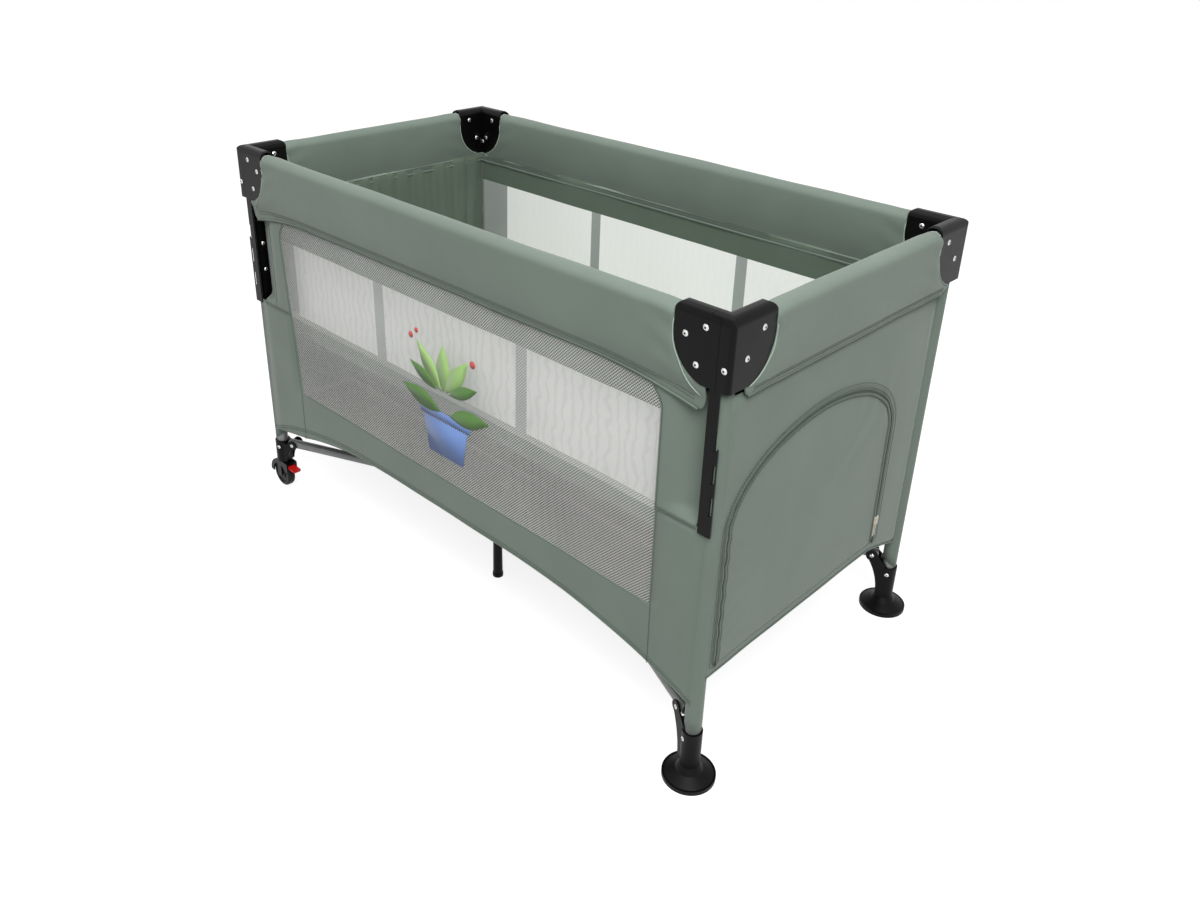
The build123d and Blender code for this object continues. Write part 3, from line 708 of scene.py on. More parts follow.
def screw_tree():
    """Domed screw heads with a driver recess, on points that know which way they face; the recess is a
    dark stub whose colour is painted shade.
    """
    tree, given, out = new_tree("playpen_screws", ("Radius",), ("Head", "Recess_shade"))
    head = add(tree, "GeometryNodeMeshCone", Vertices=16)
    wire(tree, given, "Radius", head, "Radius Bottom")
    wire(tree, scaled(tree, given, "Radius", 0.62), 0, head, "Radius Top")
    wire(tree, scaled(tree, given, "Radius", 0.30), 0, head, "Depth")
    bright = painted(tree, (head, "Mesh"), given, "Head")
    # Painted shade: the recess is a dark stub standing in for the shade in the hollow.
    cut = add(tree, "GeometryNodeMeshCylinder", Vertices=6)
    wire(tree, scaled(tree, given, "Radius", 0.40), 0, cut, "Radius")
    wire(tree, scaled(tree, given, "Radius", 0.66), 0, cut, "Depth")
    dark = painted(tree, (cut, "Mesh"), given, "Recess_shade")
    both = tree.nodes.new("GeometryNodeJoinGeometry")
    wire(tree, dark, "Geometry", both, "Geometry")
    wire(tree, bright, "Geometry", both, "Geometry")
    facing = add(tree, "GeometryNodeInputNamedAttribute", Name="facing")
    facing.data_type = "FLOAT_VECTOR"
    spread = fed(
        tree,
        "GeometryNodeInstanceOnPoints",
        Points=(given, "Geometry"),
        Instance=(both, "Geometry"),
        Rotation=facing_along(tree, "Z", facing, "Attribute"),
    )
    settle(tree, spread, given, None, out)
    return tree


def stitch_tree():
    """Short threads set along the edges of a path."""
    tree, given, out = new_tree("playpen_stitches", ("Length", "Pitch", "Thick"), ("Thread",))
    path = fed(tree, "GeometryNodeMeshToCurve", Mesh=(given, "Geometry"))
    steps = tree.nodes.new("GeometryNodeResampleCurve")
    steps.mode = "LENGTH"
    wire(tree, path, "Curve", steps, "Curve")
    wire(tree, given, "Pitch", steps, "Length")
    thick = (given, "Thick")
    size = fed(tree, "ShaderNodeCombineXYZ", X=(given, "Length"), Y=thick, Z=thick)
    thread = fed(tree, "GeometryNodeMeshCube", Size=(size, "Vector"))
    tangent = tree.nodes.new("GeometryNodeInputTangent")
    spread = fed(
        tree,
        "GeometryNodeInstanceOnPoints",
        Points=(steps, "Curve"),
        Instance=(thread, "Mesh"),
        Rotation=facing_along(tree, "X", tangent, "Tangent"),
    )
    settle(tree, spread, given, "Thread", out)
    return tree


def grown(name, tree, values, seed):
    """What a node tree makes of a seed mesh, as a plain mesh piece."""
    piece = added(name, seed)
    grow = piece.modifiers.new("grow", "NODES")
    grow.node_group = tree
    for socket in tree.interface.items_tree:
        if socket.item_type == "SOCKET" and socket.in_out == "INPUT" and socket.name in values:
            grow[socket.identifier] = values[socket.name]
    mesh = bpy.data.meshes.new_from_object(evaluated(piece))
    piece.modifiers.clear()
    piece.data = mesh
    mesh.name = name
    bpy.data.meshes.remove(seed)
    return piece


def tree_of(name, maker):
    return bpy.data.node_groups.get(name) or maker()


def stitched(name, paths):
    """Stitches along several paths, as one piece."""
    points = []
    edges = []
    for path in paths:
        first = len(points)
        points += [tuple(p) for p in path]
        edges += [(first + n, first + n + 1) for n in range(len(path) - 1)]
    seed = bpy.data.meshes.new(name + "_path")
    seed.from_pydata(points, edges, [])
    s = sizes()
    thick = 0.0008
    values = {"Length": s.stitch, "Pitch": s.stitch_pitch, "Thick": thick, "Thread": finish("thread")}
    return grown(name, tree_of("playpen_stitches", stitch_tree), values, seed)


def sewn(name, rows, side, body=None, inset=0.0):
    """Stitches along rows of places, hung on one side."""
    hang(stitched(name, rows), side, body, inset)


def screwed(name, spots, radius):
    """Screws at (point, facing) spots, as one piece."""
    seed = bpy.data.meshes.new(name + "_spots")
    seed.from_pydata([spot[0] for spot in spots], [], [])
    facing = seed.attributes.new("facing", "FLOAT_VECTOR", "POINT")
    facing.data.foreach_set("vector", np.array([spot[1] for spot in spots], np.float32).ravel())
    values = {"Radius": radius, "Head": finish("screw_zinc"), "Recess_shade": finish("screw_recess_shade")}
    return grown(name, tree_of("playpen_screws", screw_tree), values, seed)


def fastened(name, spots, radius, body):
    carried(screwed(name, spots, radius), body)


def netting(name, side, half, low, high, out):
    """A piece of mesh between two heights on one side."""
    s = sizes()
    values = {"Width": 2 * half, "Height": high - low, "Pitch": s.mesh_pitch, "Strand": s.mesh_strand}
    values["Yarn"] = finish("mesh_yarn")
    piece = grown(name, tree_of("playpen_net", net_tree), values, bpy.data.meshes.new(name + "_seed"))
    mesh = piece.data
    flat = np.zeros(len(mesh.vertices) * 3, np.float32)
    mesh.vertices.foreach_get("co", flat)
    flat = flat.reshape(-1, 3)
    centre = (low + high) / 2
    moved = []
    for u, v, lift in flat.tolist():
        z = v + centre
        moved.append(place(side, u, out + lift + wall_wave(side, u, z), z))
    mesh.vertices.foreach_set("co", np.array(moved, np.float32).ravel())
    mesh.update()
    return piece


# Shapes of the cloth


def hem(along):
    """Height of a long wall's lower edge: lowest at the legs."""
    s = sizes()
    return s.hem_middle - (s.hem_middle - s.hem_corner) * abs(along / leg_x) ** 3.5


def window_edge(side, way, z):
    """Where a window's upright edge stands at one height: its upper corners are rounded."""
    margin = 0.003
    bend, bend_in = 0.030, 0.018
    edge = window_high.x - margin
    if side == "front" and way < 0:
        inset, lean = 0.016, 0.08
        edge -= inset + lean * (window_high.z - z)
    near = max(0.0, z - (window_high.z - bend)) / bend
    return way * (edge - bend_in * min(1.0, near) ** 2)


def beside_window(side, u, z):
    """A place along a long wall, moved so that the columns at the window's edges follow them."""
    half = window_high.x
    left, right = (window_edge(side, way, z) for way in (-1, 1))
    return float(np.interp(u, (-leg_x, -half, half, leg_x), (-leg_x, left, right, leg_x)))


def right_hem(y, z):
    """A height in the right wall, lowered near its hem towards the back leg."""
    s = sizes()
    dip_start, dip_height = 0.165, 0.12
    share = max(0.0, (y - dip_start) / (leg_y - dip_start)) ** 1.2
    return z - s.end_dip * share * (1 - ease(z, s.end_hem, s.end_hem + dip_height))


def wall_wave(side, along, z):
    """How far the wall cloth stands out of its plane."""
    seed = {"front": 0.4, "back": 2.2, "left": 3.9, "right": 5.3}[side]
    depth = 0.0012
    taut = 0.12
    slack = 1 - ease(abs(along), half_span(side) - taut, half_span(side))
    return depth * slack * ripple(along, z, seed)


def leg_bend(y):
    """How far the right wall runs inwards between its door and the back leg."""
    depth = 0.011
    return depth * (max(0.0, y - door_high.y) / (leg_y - door_high.y)) ** 2


def door_wave(y, z):
    """Slack of the right wall: puckers by the front leg, folds under the arch, a bend to the back leg."""
    pucker_depth, fold_depth = 0.0011, 0.0014
    near_leg = zone(y, -0.295, -0.275, -0.27, -0.20)
    half_way = zone(z, 0.20, 0.26, 0.42, 0.50)
    pucker = pucker_depth * near_leg * math.sin(190 * z + 90 * y) * half_way
    beside_zip = zone(y, 0.02, 0.09, 0.14, 0.17)
    under_arch = zone(z, 0.33, 0.40, 0.52, 0.56)
    folds = fold_depth * beside_zip * under_arch * math.sin(150 * y + 12 * z)
    return wall_wave("right", y, z) + pucker + folds - leg_bend(y)


def on_wall(side, along, z, lift=0.0, height=None):
    """A place on a wall's cloth, lifted off it, with the slack that the cloth has at z."""
    plane = wall_y if long_side(side) else wall_x
    wave = door_wave(along, z) if side == "right" else wall_wave(side, along, z)
    return place(side, along, plane + sizes().cloth + lift + wave, z if height is None else height)


def raised(side, point, lift=stitch_lift):
    """A place just outside a side's cloth, or inside it."""
    return tuple(Vector(point) + lift * Vector(place(side, 0, 1, 0)))


arch_foot = 0.44
arch_centre = ((door_low.y + door_high.y) / 2, arch_foot)
arch_half = (door_high.y - door_low.y) / 2
arch_rise = door_high.z - arch_foot
hem_gap = 0.002
door_hem = door_low.z + hem_gap
door_middle = (arch_centre[0], 0.36)


def in_arch(along, z, grow):
    """Whether a place in the right wall lies inside the door's outline, grown but not at its hem."""
    across = (along - arch_centre[0]) / (arch_half + grow)
    if z >= arch_centre[1]:
        return across ** 2 + ((z - arch_centre[1]) / (arch_rise + grow)) ** 2 <= 1
    return abs(across) <= 1 and z >= door_hem


def arch_point(angle, grow):
    """Where a ray from the door's middle leaves its outline, as along and height."""
    direction = (math.cos(angle), math.sin(angle))
    near, far = 0.0, 1.0
    halvings = 40
    for _ in range(halvings):
        reach = (near + far) / 2
        if in_arch(door_middle[0] + reach * direction[0], door_middle[1] + reach * direction[1], grow):
            near = reach
        else:
            far = reach
    return door_middle[0] + near * direction[0], door_middle[1] + near * direction[1]


def frame_point(angle, half, low, high):
    """Where that ray leaves the wall's own rectangle."""
    across, up = math.cos(angle), math.sin(angle)
    reaches = []
    if abs(across) > 1e-9:
        reaches.append(((half if across > 0 else -half) - door_middle[0]) / across)
    if abs(up) > 1e-9:
        reaches.append(((high if up > 0 else low) - door_middle[1]) / up)
    reach = min(r for r in reaches if r > 0)
    return door_middle[0] + reach * across, door_middle[1] + reach * up


def between(first, second, shares):
    """Places on the line from one place to another."""
    return [tuple(a + (b - a) * share for a, b in zip(first, second)) for share in shares]


def door_row(sweep, grow):
    """A row of places round the door, just outside its zip tapes."""
    lift = 0.0022
    return [on_wall("right", *arch_point(angle, grow), lift=lift) for angle in sweep]


cap_toe = 0.024
cap_belly = (0.057, cap_top - 0.080)
cap_shoulder = cap_top - 0.033
cap_nose = 0.009
cover_reach = 0.0165
cover_mitre = 0.0115
cover_round = 0.020
cover_shoulder = cover_high.z - 0.0145


def arc_through(first, second, third, gap, count):
    """Places on the circle through three places, a gap outside it."""
    a, b, c = (complex(*spot) for spot in (first, second, third))
    ratio = (c - a) / (b - a)
    centre = a - (a - b) * (ratio - abs(ratio) ** 2) / (2j * ratio.imag)
    turn = cmath.phase((c - centre) / (a - centre))
    spots = []
    for n in range(count + 1):
        arm = (a - centre) * cmath.exp(1j * turn * n / count)
        spot = centre + arm * (1 + gap / abs(arm))
        spots.append((spot.real, spot.imag))
    return spots


def cap_edge(gap, count=12):
    """The edge of a corner housing's arm from its foot to its top, as reach from the leg and height."""
    spots = arc_through((cap_toe, cap_low), cap_belly, (cap_arm, cap_shoulder), gap, count)
    bend = cap_nose + gap
    for n in range(5):
        angle = math.radians(22.5 * n)
        reach = cap_arm - cap_nose + bend * math.cos(angle)
        spots.append((reach, cap_top - cap_nose + bend * math.sin(angle)))
    return spots


cap_outline = np.array([(reach, cap_low) for reach in lines(0.0, cap_toe, 0.002)][:-1] + cap_edge(0.0, 40))


def past_cap(reach, z):
    """Distance of a place on an arm from the housing's edge, below zero under the housing."""
    far = 0.02
    if reach > cap_arm + far or z < cap_low - far:
        return far
    near = float(np.min(np.hypot(cap_outline[:, 0] - reach, cap_outline[:, 1] - z)))
    under = z > cap_low and reach < np.interp(z, cap_outline[:, 1], cap_outline[:, 0])
    return -near if under else near


def cover_end(side):
    return half_span(side) - cover_reach


def rail_line(side):
    return rail_y if long_side(side) else rail_x


cover_sides = {
    1: [(0.0000, 0.58), (0.0035, 0.69), (0.0115, 0.85), (0.0280, 0.97), (0.0480, 1.00), (0.0995, 0.99)],
    -1: [(0.0000, 1.05), (0.0035, 1.08), (0.0160, 1.07), (0.0380, 1.03), (0.0600, 1.00), (0.0995, 0.99)],
}
cover_rows = [(1, 0.0020, 0.0, 0.0028), (1, 0.0, 0.0, 0.0008)]
cover_rows += [(1, rise, 0.0, 0.0) for rise in lines(0.0025, cover_shoulder - cover_foot, 0.0055)]
cover_rows += [(1, 0.0, angle, 0.0) for angle in np.linspace(0, math.pi / 2, 9)[1:].tolist()]
cover_rows += [(-1, rise, angle, fold) for face, rise, angle, fold in reversed(cover_rows[:-1])]


def cover_wave(side, along, face, z):
    """Slack of a rail cover: long soft waves, and puckers that run out from the corner housings."""
    seed = {"front": 1.0, "back": 2.7, "left": 4.4, "right": 6.1}[side]
    wave_depth, pucker_depth = 0.0009, 0.0007
    pucker_at, pucker_spread = 0.066, 0.035
    near = math.exp(-(((cover_end(side) - pucker_at - abs(along)) / pucker_spread) ** 2))
    pucker = pucker_depth * near * math.sin(170 * z + 60 * abs(along) + seed)
    return wave_depth * ripple(along, 3 * z, seed + (0 if face > 0 else 9)) + pucker


def cover_limit(side, face, rise, angle):
    """How near a leg's axis a rail cover's end comes, at one place round its section."""
    level = cover_foot + rise
    outer = cover_reach
    if rise < cover_round and not angle:
        outer += 0.6 * (cover_round - math.sqrt(cover_round ** 2 - (cover_round - rise) ** 2))
    blend = 0.006
    inner = cover_mitre + (cover_reach - cover_mitre) * ease(level, cap_low - blend, cap_low + blend)
    if side == "front":
        inner = cover_reach
    if angle:
        inner = outer = cover_reach
    return outer if face > 0 else inner


def cover_point(side, along, face, rise, angle=0.0, fold=0.0, lift=0.0):
    """A place on a rail cover: its height above the hem, or the angle over the crown."""
    s = sizes()
    sag_start, sag_run, sag_height = 0.36, 0.19, 0.05
    tuck_start, tuck_run = 0.0015, 0.012
    crown_gap, crown_tuck = 0.001, 0.003
    crown = cover_high.z - cover_shoulder
    z = cover_shoulder + crown * math.sin(angle) if angle else cover_foot + rise
    if side == "front" and not angle:
        sag = s.cover_sag * max(0.0, (abs(along) - sag_start) / sag_run) ** 2
        z -= sag * (1 - ease(rise, 0.0, sag_height))
    past = past_cap(half_span(side) - abs(along), z)
    free = min(1.0, max(0.0, (past + tuck_start) / tuck_run))
    free = math.sqrt(1 - (1 - free) ** 2)
    heights, shares = zip(*cover_sides[face])
    level = z - cover_foot if angle else min(z - cover_foot, rise)
    full = s.cover_half * float(np.interp(level, heights, shares))
    half = min(full, s.cover_tuck) + (full - min(full, s.cover_tuck)) * free - fold
    wave = cover_wave(side, along, face, z) * free + lift
    out = face * (half + wave * math.cos(angle)) * math.cos(angle)
    top = z + (wave - crown_gap - crown_tuck * (1 - free)) * math.sin(angle)
    return place(side, along, rail_line(side) + out, top)


def remap_cover(piece):
    """Cloth map of a cover: along it, and round its section, in metres."""
    run = [0.0]
    for a, b in zip(cover_rows, cover_rows[1:]):
        start, end = (Vector(cover_point("back", 0.0, *row)) for row in (a, b))
        run.append(run[-1] + (end - start).length)
    layer = piece.data.uv_layers["cloth"]
    for loop in layer.data:
        loop.uv = (loop.uv[0], run[int(round(loop.uv[1]))])


def swell(piece, frames, most):
    """Cloth under inner pressure for a few frames; no point moves further than most."""
    before = np.array([v.co for v in piece.data.vertices], np.float32)
    cloth = piece.modifiers.new("swell", "CLOTH")
    cloth.settings.use_pressure = True
    cloth.settings.uniform_pressure_force = 4.0
    cloth.settings.effector_weights.gravity = 0.0
    cloth.settings.quality = 5
    cloth.point_cache.frame_start = 1
    cloth.point_cache.frame_end = frames
    scene = bpy.context.scene
    for number in range(1, frames + 1):
        scene.frame_set(number)
    after = np.array([v.co for v in evaluated(piece).data.vertices], np.float32)
    piece.modifiers.clear()
    scene.frame_set(1)
    move = after - before
    far = np.linalg.norm(move, axis=1, keepdims=True)
    move *= np.minimum(1.0, most / np.maximum(far, 1e-9))
    piece.data.vertices.foreach_set("co", (before + move).astype(np.float32).ravel())
    piece.data.update()


def stuffed_panel(width, deep, tall):
    """One stuffed panel about the origin: a box that cloth and pressure swell."""
    mesh = bpy.data.meshes.new("stuffed_panel")
    with shaping(mesh) as shape:
        bmesh.ops.create_cube(shape, size=1.0)
        bmesh.ops.scale(shape, vec=(width, deep, tall), verts=shape.verts)
        bmesh.ops.bevel(shape, geom=shape.edges[:], offset=0.006, segments=2, affect="EDGES")
    piece = added("stuffed_panel", mesh)
    remesh = piece.modifiers.new("even", "REMESH")
    remesh.mode = "VOXEL"
    remesh.voxel_size = 0.0075
    even = bpy.data.meshes.new_from_object(evaluated(piece))
    piece.modifiers.clear()
    piece.data = even
    swell(piece, 20, 0.006)
    dressed(even, "pad_cloth")
    mapped(even, [vertex.co[:2] for vertex in even.vertices])
    even.shade_smooth()
    return piece


def settle_inside(piece, low, high):
    """Keeps a swollen pad's points inside its place."""
    for vertex in piece.data.vertices:
        for axis in range(3):
            vertex.co[axis] = min(high[axis], max(low[axis], vertex.co[axis]))
    piece.data.update()


def leaf(along, z, long, wide, turn):
    """Outline of one leaf from its stalk, as along and height."""
    points = []
    for n in range(13):
        share = n / 12
        points.append((share * long, wide * math.sin(math.pi * share) * (1 - 0.35 * share)))
    outline = points + [(x, -y) for x, y in reversed(points[1:-1])]
    angle = math.radians(turn)
    return [
        (along + x * math.cos(angle) - y * math.sin(angle), z + x * math.sin(angle) + y * math.cos(angle))
        for x, y in outline
    ]


def disc(along, z, radius):
    angles = np.linspace(0, 2 * math.pi, 14)[:-1]
    return [(along + radius * math.cos(a), z + radius * math.sin(a)) for a in angles]


def bracket_rivets(right, back):
    """Rivet places on both cheeks of a leg bracket and at its socket."""
    tube_run = (0.496, 0.214)
    turn = math.atan2(tube_run[1], tube_run[0])
    along = Vector((-right * math.cos(turn), -back * math.sin(turn), 0))
    across = Vector((-along.y, along.x, 0))
    leg = Vector((right * leg_x, back * leg_y, 0))
    socket_z = 0.078 if right > 0 else 0.104
    spots = []
    for reach, half, z in ((0.032, 0.0137, 0.112), (0.0, 0.0160, socket_z)):
        for face in (-1, 1):
            point = leg + along * reach + across * face * half
            spots.append(((point.x, point.y, z), tuple(across * face)))
    return spots


# Operators


class PLAYPEN_OT_finishes(bpy.types.Operator):
    """Gives the frame's own pieces their finishes"""

    bl_idname = "playpen.finishes"
    bl_label = "Frame finishes"

    def execute(self, context):
        by_name = {
            "corner_": "housing_plastic",
            "front_carriage_": "housing_plastic",
            "track_": "track_plastic",
            "foot_bracket_": "bracket_plastic",
            "castor_bracket_": "bracket_plastic",
            "castor_fork_": "housing_plastic",
            "castor_wheel_": "wheel_plastic",
            "castor_brake_": "lever_plastic",
            "hub": "bracket_plastic",
        }
        for node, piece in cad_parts.items():
            material = next((m for start, m in by_name.items() if node.startswith(start)), "tube_paint")
            if node.endswith("_lock"):
                material = "bracket_plastic"
            if node.endswith("_button"):
                material = "button_plastic"
            dressed(piece.data, material)
        return {"FINISHED"}


class PLAYPEN_OT_rail_covers(bpy.types.Operator):
    """Padded covers over the four top rails, with their hem cords and stitched seams, dark cords that
    paint the shadow line under each hem, and pale cords that paint the highlight round the corner housings
    """

    bl_idname = "playpen.rail_covers"
    bl_label = "Rail covers"

    def execute(self, context):
        for side in all_sides:
            self.cover(side)
        return {"FINISHED"}

    def cover(self, side):
        fine, coarse, fine_run = 0.003, 0.012, 0.030
        seam_heights = (0.009, 0.013)
        span = half_span(side)
        body = upper_body(side)
        near = span - cap_arm - fine_run
        us = lines(-span, -near, fine) + lines(-near, near, coarse)[1:-1] + lines(near, span, fine)

        def point(u, row):
            face, rise, angle, fold = cover_rows[row]
            along = u * (span - cover_limit(side, face, rise, angle)) / span
            return cover_point(side, along, face, rise, angle, fold)

        piece = grid(side + "_rail_cover", us, list(range(len(cover_rows))), point, ["cover_cloth"])
        remap_cover(piece)
        thicken(piece, sizes().padding)
        hang(piece, side, body, cover_reach)
        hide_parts(side + "_cover")
        cord = joined(side + "_cover_cord", self.cords(side, span))
        hang(cord, side, body, cover_reach)
        reach = span - cover_reach - cover_round
        along = lines(-reach, reach, 0.01)
        seams = [(face, rise) for face in (1, -1) for rise in seam_heights]
        rows = [[cover_point(side, u, face, rise, lift=0.0003) for u in along] for face, rise in seams]
        sewn(side + "_cover_stitches", rows, side, body, cover_reach)

    def cords(self, side, span):
        """Cords along a cover's hems, dark cords below them in the seam colour that paint each hem's
        shadow line, and pale cords round the corner housings that paint the highlight on the cover's
        rolled edge.
        """
        s = sizes()
        below = 0.0024
        made = []
        for face in (1, -1):
            reach = span - cover_limit(side, face, 0.0, 0.0)
            path = [cover_point(side, u, face, 0.0, lift=0.0004) for u in lines(-reach, reach, 0.012)]
            made.append(tube(f"{side}_cord_{face}", path, s.piping, "cover_cloth"))
            # Painted shadow: a dark cord just below each hem stands for the shadow line that the hem
            # casts.
            seam = [(x, y, z - below) for x, y, z in path]
            made.append(tube(f"{side}_seam_{face}", seam, s.piping * 0.8, "thread"))
            # Painted highlight: the pale cords round each corner housing stand for the light on the
            # cover's rolled edge.
            for way in (-1, 1):
                edge = []
                for away, z in cap_edge(0.0012):
                    rise = min(z, cover_shoulder) - cover_foot
                    over = min(1.0, max(0.0, (z - cover_shoulder) / (cover_high.z - cover_shoulder)))
                    angle = math.asin(over)
                    edge.append(cover_point(side, way * (span - away), face, rise, angle, lift=0.0005))
                made.append(tube(f"{side}_edge_{face}_{way}", edge, s.piping * 0.6, "pale_cord_and_highlight"))
        return made


class PLAYPEN_OT_long_walls(bpy.types.Operator):
    """Front and back walls: margins, lower band and mesh windows"""

    bl_idname = "playpen.long_walls"
    bl_label = "Long walls"

    def execute(self, context):
        for side in long_sides:
            self.wall(side)
        return {"FINISHED"}

    def wall(self, side):
        s = sizes()
        half = window_high.x
        overlap = 0.003
        seam = 0.004
        track_gap, layer_gap = 0.0155, 0.0016
        tuck_start, tuck_end, tuck_rise = 0.085, 0.017, 0.016
        high_end = leg_x - track_gap if side == "front" else leg_x
        high_out = wall_y + s.cloth + layer_gap
        body = upper_body(side)
        us = lines(-leg_x, leg_x, 0.02, -half, half)
        vs = lines(0.0, 1.0, 0.05) + lines(1.0, 2.0, 0.1)[1:]

        def low_point(u, v):
            bottom = hem(u)
            z = bottom + (window_low.z - bottom) * v
            if v > 1:
                z = window_low.z + (s.split - window_low.z) * (v - 1)
            return on_wall(side, beside_window(side, u, max(z, window_low.z)), z)

        def high_point(u, v):
            u = beside_window(side, u, v)
            tuck = 0.0
            if side == "front":
                beside_track = ease(abs(u), leg_x - tuck_start, leg_x - tuck_end)
                tuck = s.track_tuck * beside_track * ease(v, s.split, s.split + tuck_rise)
            return place(side, u, high_out - tuck + wall_wave(side, u, v), v)

        def beside_or_below(u, v):
            return v < 1 or abs(u) > half

        low = grid(side + "_wall_low", us, vs, low_point, ["wall_cloth"], beside_or_below)
        hung(low, s.cloth, side)
        wide = half + overlap
        heights = (window_low.z - overlap, s.split + overlap)
        low_net = netting(side + "_mesh_low", side, wide, *heights, wall_y + 0.0002)
        hang(low_net, side)
        high_net = netting(side + "_mesh_high", side, wide, s.split - overlap, wall_top, high_out - 0.001)
        hang(high_net, side, body)
        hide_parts(side + "_wall")
        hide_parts(side + "_net")

        for way, end in ((-1, "left"), (1, "right")):
            a, b = sorted((way * half, way * high_end))
            rows = lines(s.split - seam, wall_top, 0.008)
            sheet = grid(f"{side}_wall_high_{end}", lines(a, b, 0.005), rows, high_point, ["wall_cloth"])
            hung(sheet, s.cloth, side, body=body)
            wide = high_end - abs(window_edge(side, way, (s.split + wall_top) / 2))

        sleeve_seam = leg_x - 0.045
        hem_seams = (0.004, 0.009)
        sill = 0.985
        low_rows = []
        high_rows = []
        heights = lines(s.split, cover_foot, 0.01)
        for way in (-1, 1):
            uprights = [way * (half + overlap)]
            if way < 0:
                uprights.append(way * sleeve_seam)
            high_rows += [[raised(side, high_point(u, z)) for z in heights] for u in uprights]
            low_rows.append([raised(side, low_point(uprights[0], v)) for v in vs])
            a, b = sorted((way * (half + seam), way * (high_end - 0.002)))
            high_rows.append([raised(side, high_point(u, s.split)) for u in lines(a, b, 0.01)])
        for rise in hem_seams:
            low_rows.append([on_wall(side, u, hem(u), 0.0004, hem(u) + rise) for u in us])
        low_rows.append([low_point(u, sill) for u in us if abs(u) < half])
        sewn(side + "_wall_stitches_low", low_rows, side)
        sewn(side + "_wall_stitches_high", high_rows, side, body)
        hem_path = [on_wall(side, u, hem(u), -s.cloth / 2, hem(u) + hem_lift) for u in us]
        hang(tube(side + "_wall_hem", hem_path, s.piping, "wall_cloth"), side)


class PLAYPEN_OT_end_walls(bpy.types.Operator):
    """Left wall, and the right wall with its zipped door"""

    bl_idname = "playpen.end_walls"
    bl_label = "End walls and door"

    def execute(self, context):
        flat = (2 * leg_y, wall_top - sizes().end_hem)
        angles = self.angles()
        self.left_wall(flat)
        self.right_wall(flat, angles)
        self.door(angles)
        self.zip_and_seams()
        return {"FINISHED"}

    def angles(self):
        """Directions from the door's middle, with those to the corners of the wall and of the door."""
        spots = [(y, z) for y in (-leg_y, leg_y) for z in (sizes().end_hem, wall_top)]
        spots += [(door_low.y, door_hem), (door_high.y, door_hem)]
        to_corners = [math.atan2(z - door_middle[1], y - door_middle[0]) % (2 * math.pi) for y, z in spots]
        return lines(0.0, 2 * math.pi, math.radians(2.5), *to_corners)[:-1]

    def left_wall(self, flat):
        s = sizes()
        us = lines(-leg_y, leg_y, 0.015)
        vs = lines(s.end_hem, wall_top, 0.02)
        left = grid("left_wall_cloth", us, vs, lambda u, v: on_wall("left", u, v), ["wall_cloth"])
        hung(left, s.cloth, "left")
        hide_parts("left_wall")

    def right_wall(self, flat, angles):
        s = sizes()
        zip_gap = 0.004
        shares = (0.0, 0.04, 0.12, 0.25, 0.4, 0.6, 0.8, 1.0)
        uvs = []
        for angle in angles:
            outer = frame_point(angle, leg_y, s.end_hem, wall_top)
            uvs += between(arch_point(angle, zip_gap), outer, shares)
        points = [on_wall("right", y, z, height=right_hem(y, z)) for y, z in uvs]
        faces = quads(len(angles), len(shares), round_rows=True)
        right = build("right_wall_cloth", points, faces, ["wall_cloth"], uvs)
        hung(right, s.cloth, "right")
        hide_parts("right_wall")

    def door(self, angles):
        s = sizes()
        shares = (0.25, 0.5, 0.7, 0.85, 0.95, 1.0)
        uvs = []
        for angle in angles:
            uvs += between(door_middle, arch_point(angle, -0.001), shares)
        points = [place("right", door_middle[0], wall_x + s.cloth + 0.001, door_middle[1])]
        points += [on_wall("right", y, z, stitch_lift) for y, z in uvs]
        count, row = len(angles), len(shares)
        faces = [(0, 1 + n * row, 1 + (n + 1) % count * row) for n in range(count)]
        faces += [tuple(v + 1 for v in face) for face in quads(count, row, round_rows=True)]
        door = build("door_cloth", points, faces, ["wall_cloth"], [door_middle] + uvs)
        hung(door, s.cloth, "right", body="door")
        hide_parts("door_flap")

    def zip_and_seams(self):
        s = sizes()
        foot_gap, steps = 0.002, 110
        tape_lift, tape_thick, map_radius = 0.0016, 0.0006, 0.25
        drop = door_hem + foot_gap - door_middle[1]
        start, end = (math.atan2(drop, y - door_middle[0]) for y in (door_high.y, door_low.y))
        sweep = np.linspace(start, end + 2 * math.pi, steps)
        tapes = (("zip_tape_wall", None, 0.0015, 0.0085), ("zip_tape_door", "door", -0.0075, 0.0005))
        for name, body, near, far in tapes:
            spots = [(angle, grow) for angle in sweep for grow in (near, (near + far) / 2, far)]
            points = [on_wall("right", *arch_point(angle, grow), lift=tape_lift) for angle, grow in spots]
            uvs = [(angle * map_radius, grow) for angle, grow in spots]
            tape = build(name, points, quads(len(sweep), 3), ["zip_tape"], uvs)
            outward_from(tape, pen_middle)
            hung(tape, tape_thick, "right", body=body)
        hang(tube("zip_teeth", door_row(sweep, 0.001), 0.0011, "zip_teeth"), "right")
        pull = copied("zip_pull", "zip_slider", "zip_pull")
        hang(pull, "right", "zip_slider")
        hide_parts("zip_slider")
        rise = 0.004
        wall_seams = (0.0068, 0.0150)
        wall_rows = [door_row(sweep, grow) for grow in wall_seams]
        wall_rows.append(self.hem_row("right", stitch_lift, rise))
        sewn("right_wall_stitches", wall_rows, "right")
        sewn("door_stitches", [door_row(sweep, -0.0060)], "right", "door")
        for side in end_sides:
            path = self.hem_row(side, -s.cloth / 2, hem_lift)
            hang(tube(side + "_wall_hem", path, s.piping, "wall_cloth"), side)
        sewn("left_wall_stitches", [self.hem_row("left", stitch_lift, rise)], "left")

    def hem_row(self, side, lift, rise):
        """A row of places along an end wall's hem."""
        low = sizes().end_hem
        row = []
        for u in lines(-leg_y, leg_y, 0.015):
            height = right_hem(u, low) if side == "right" else low
            row.append(on_wall(side, u, low, lift, height + rise))
        return row


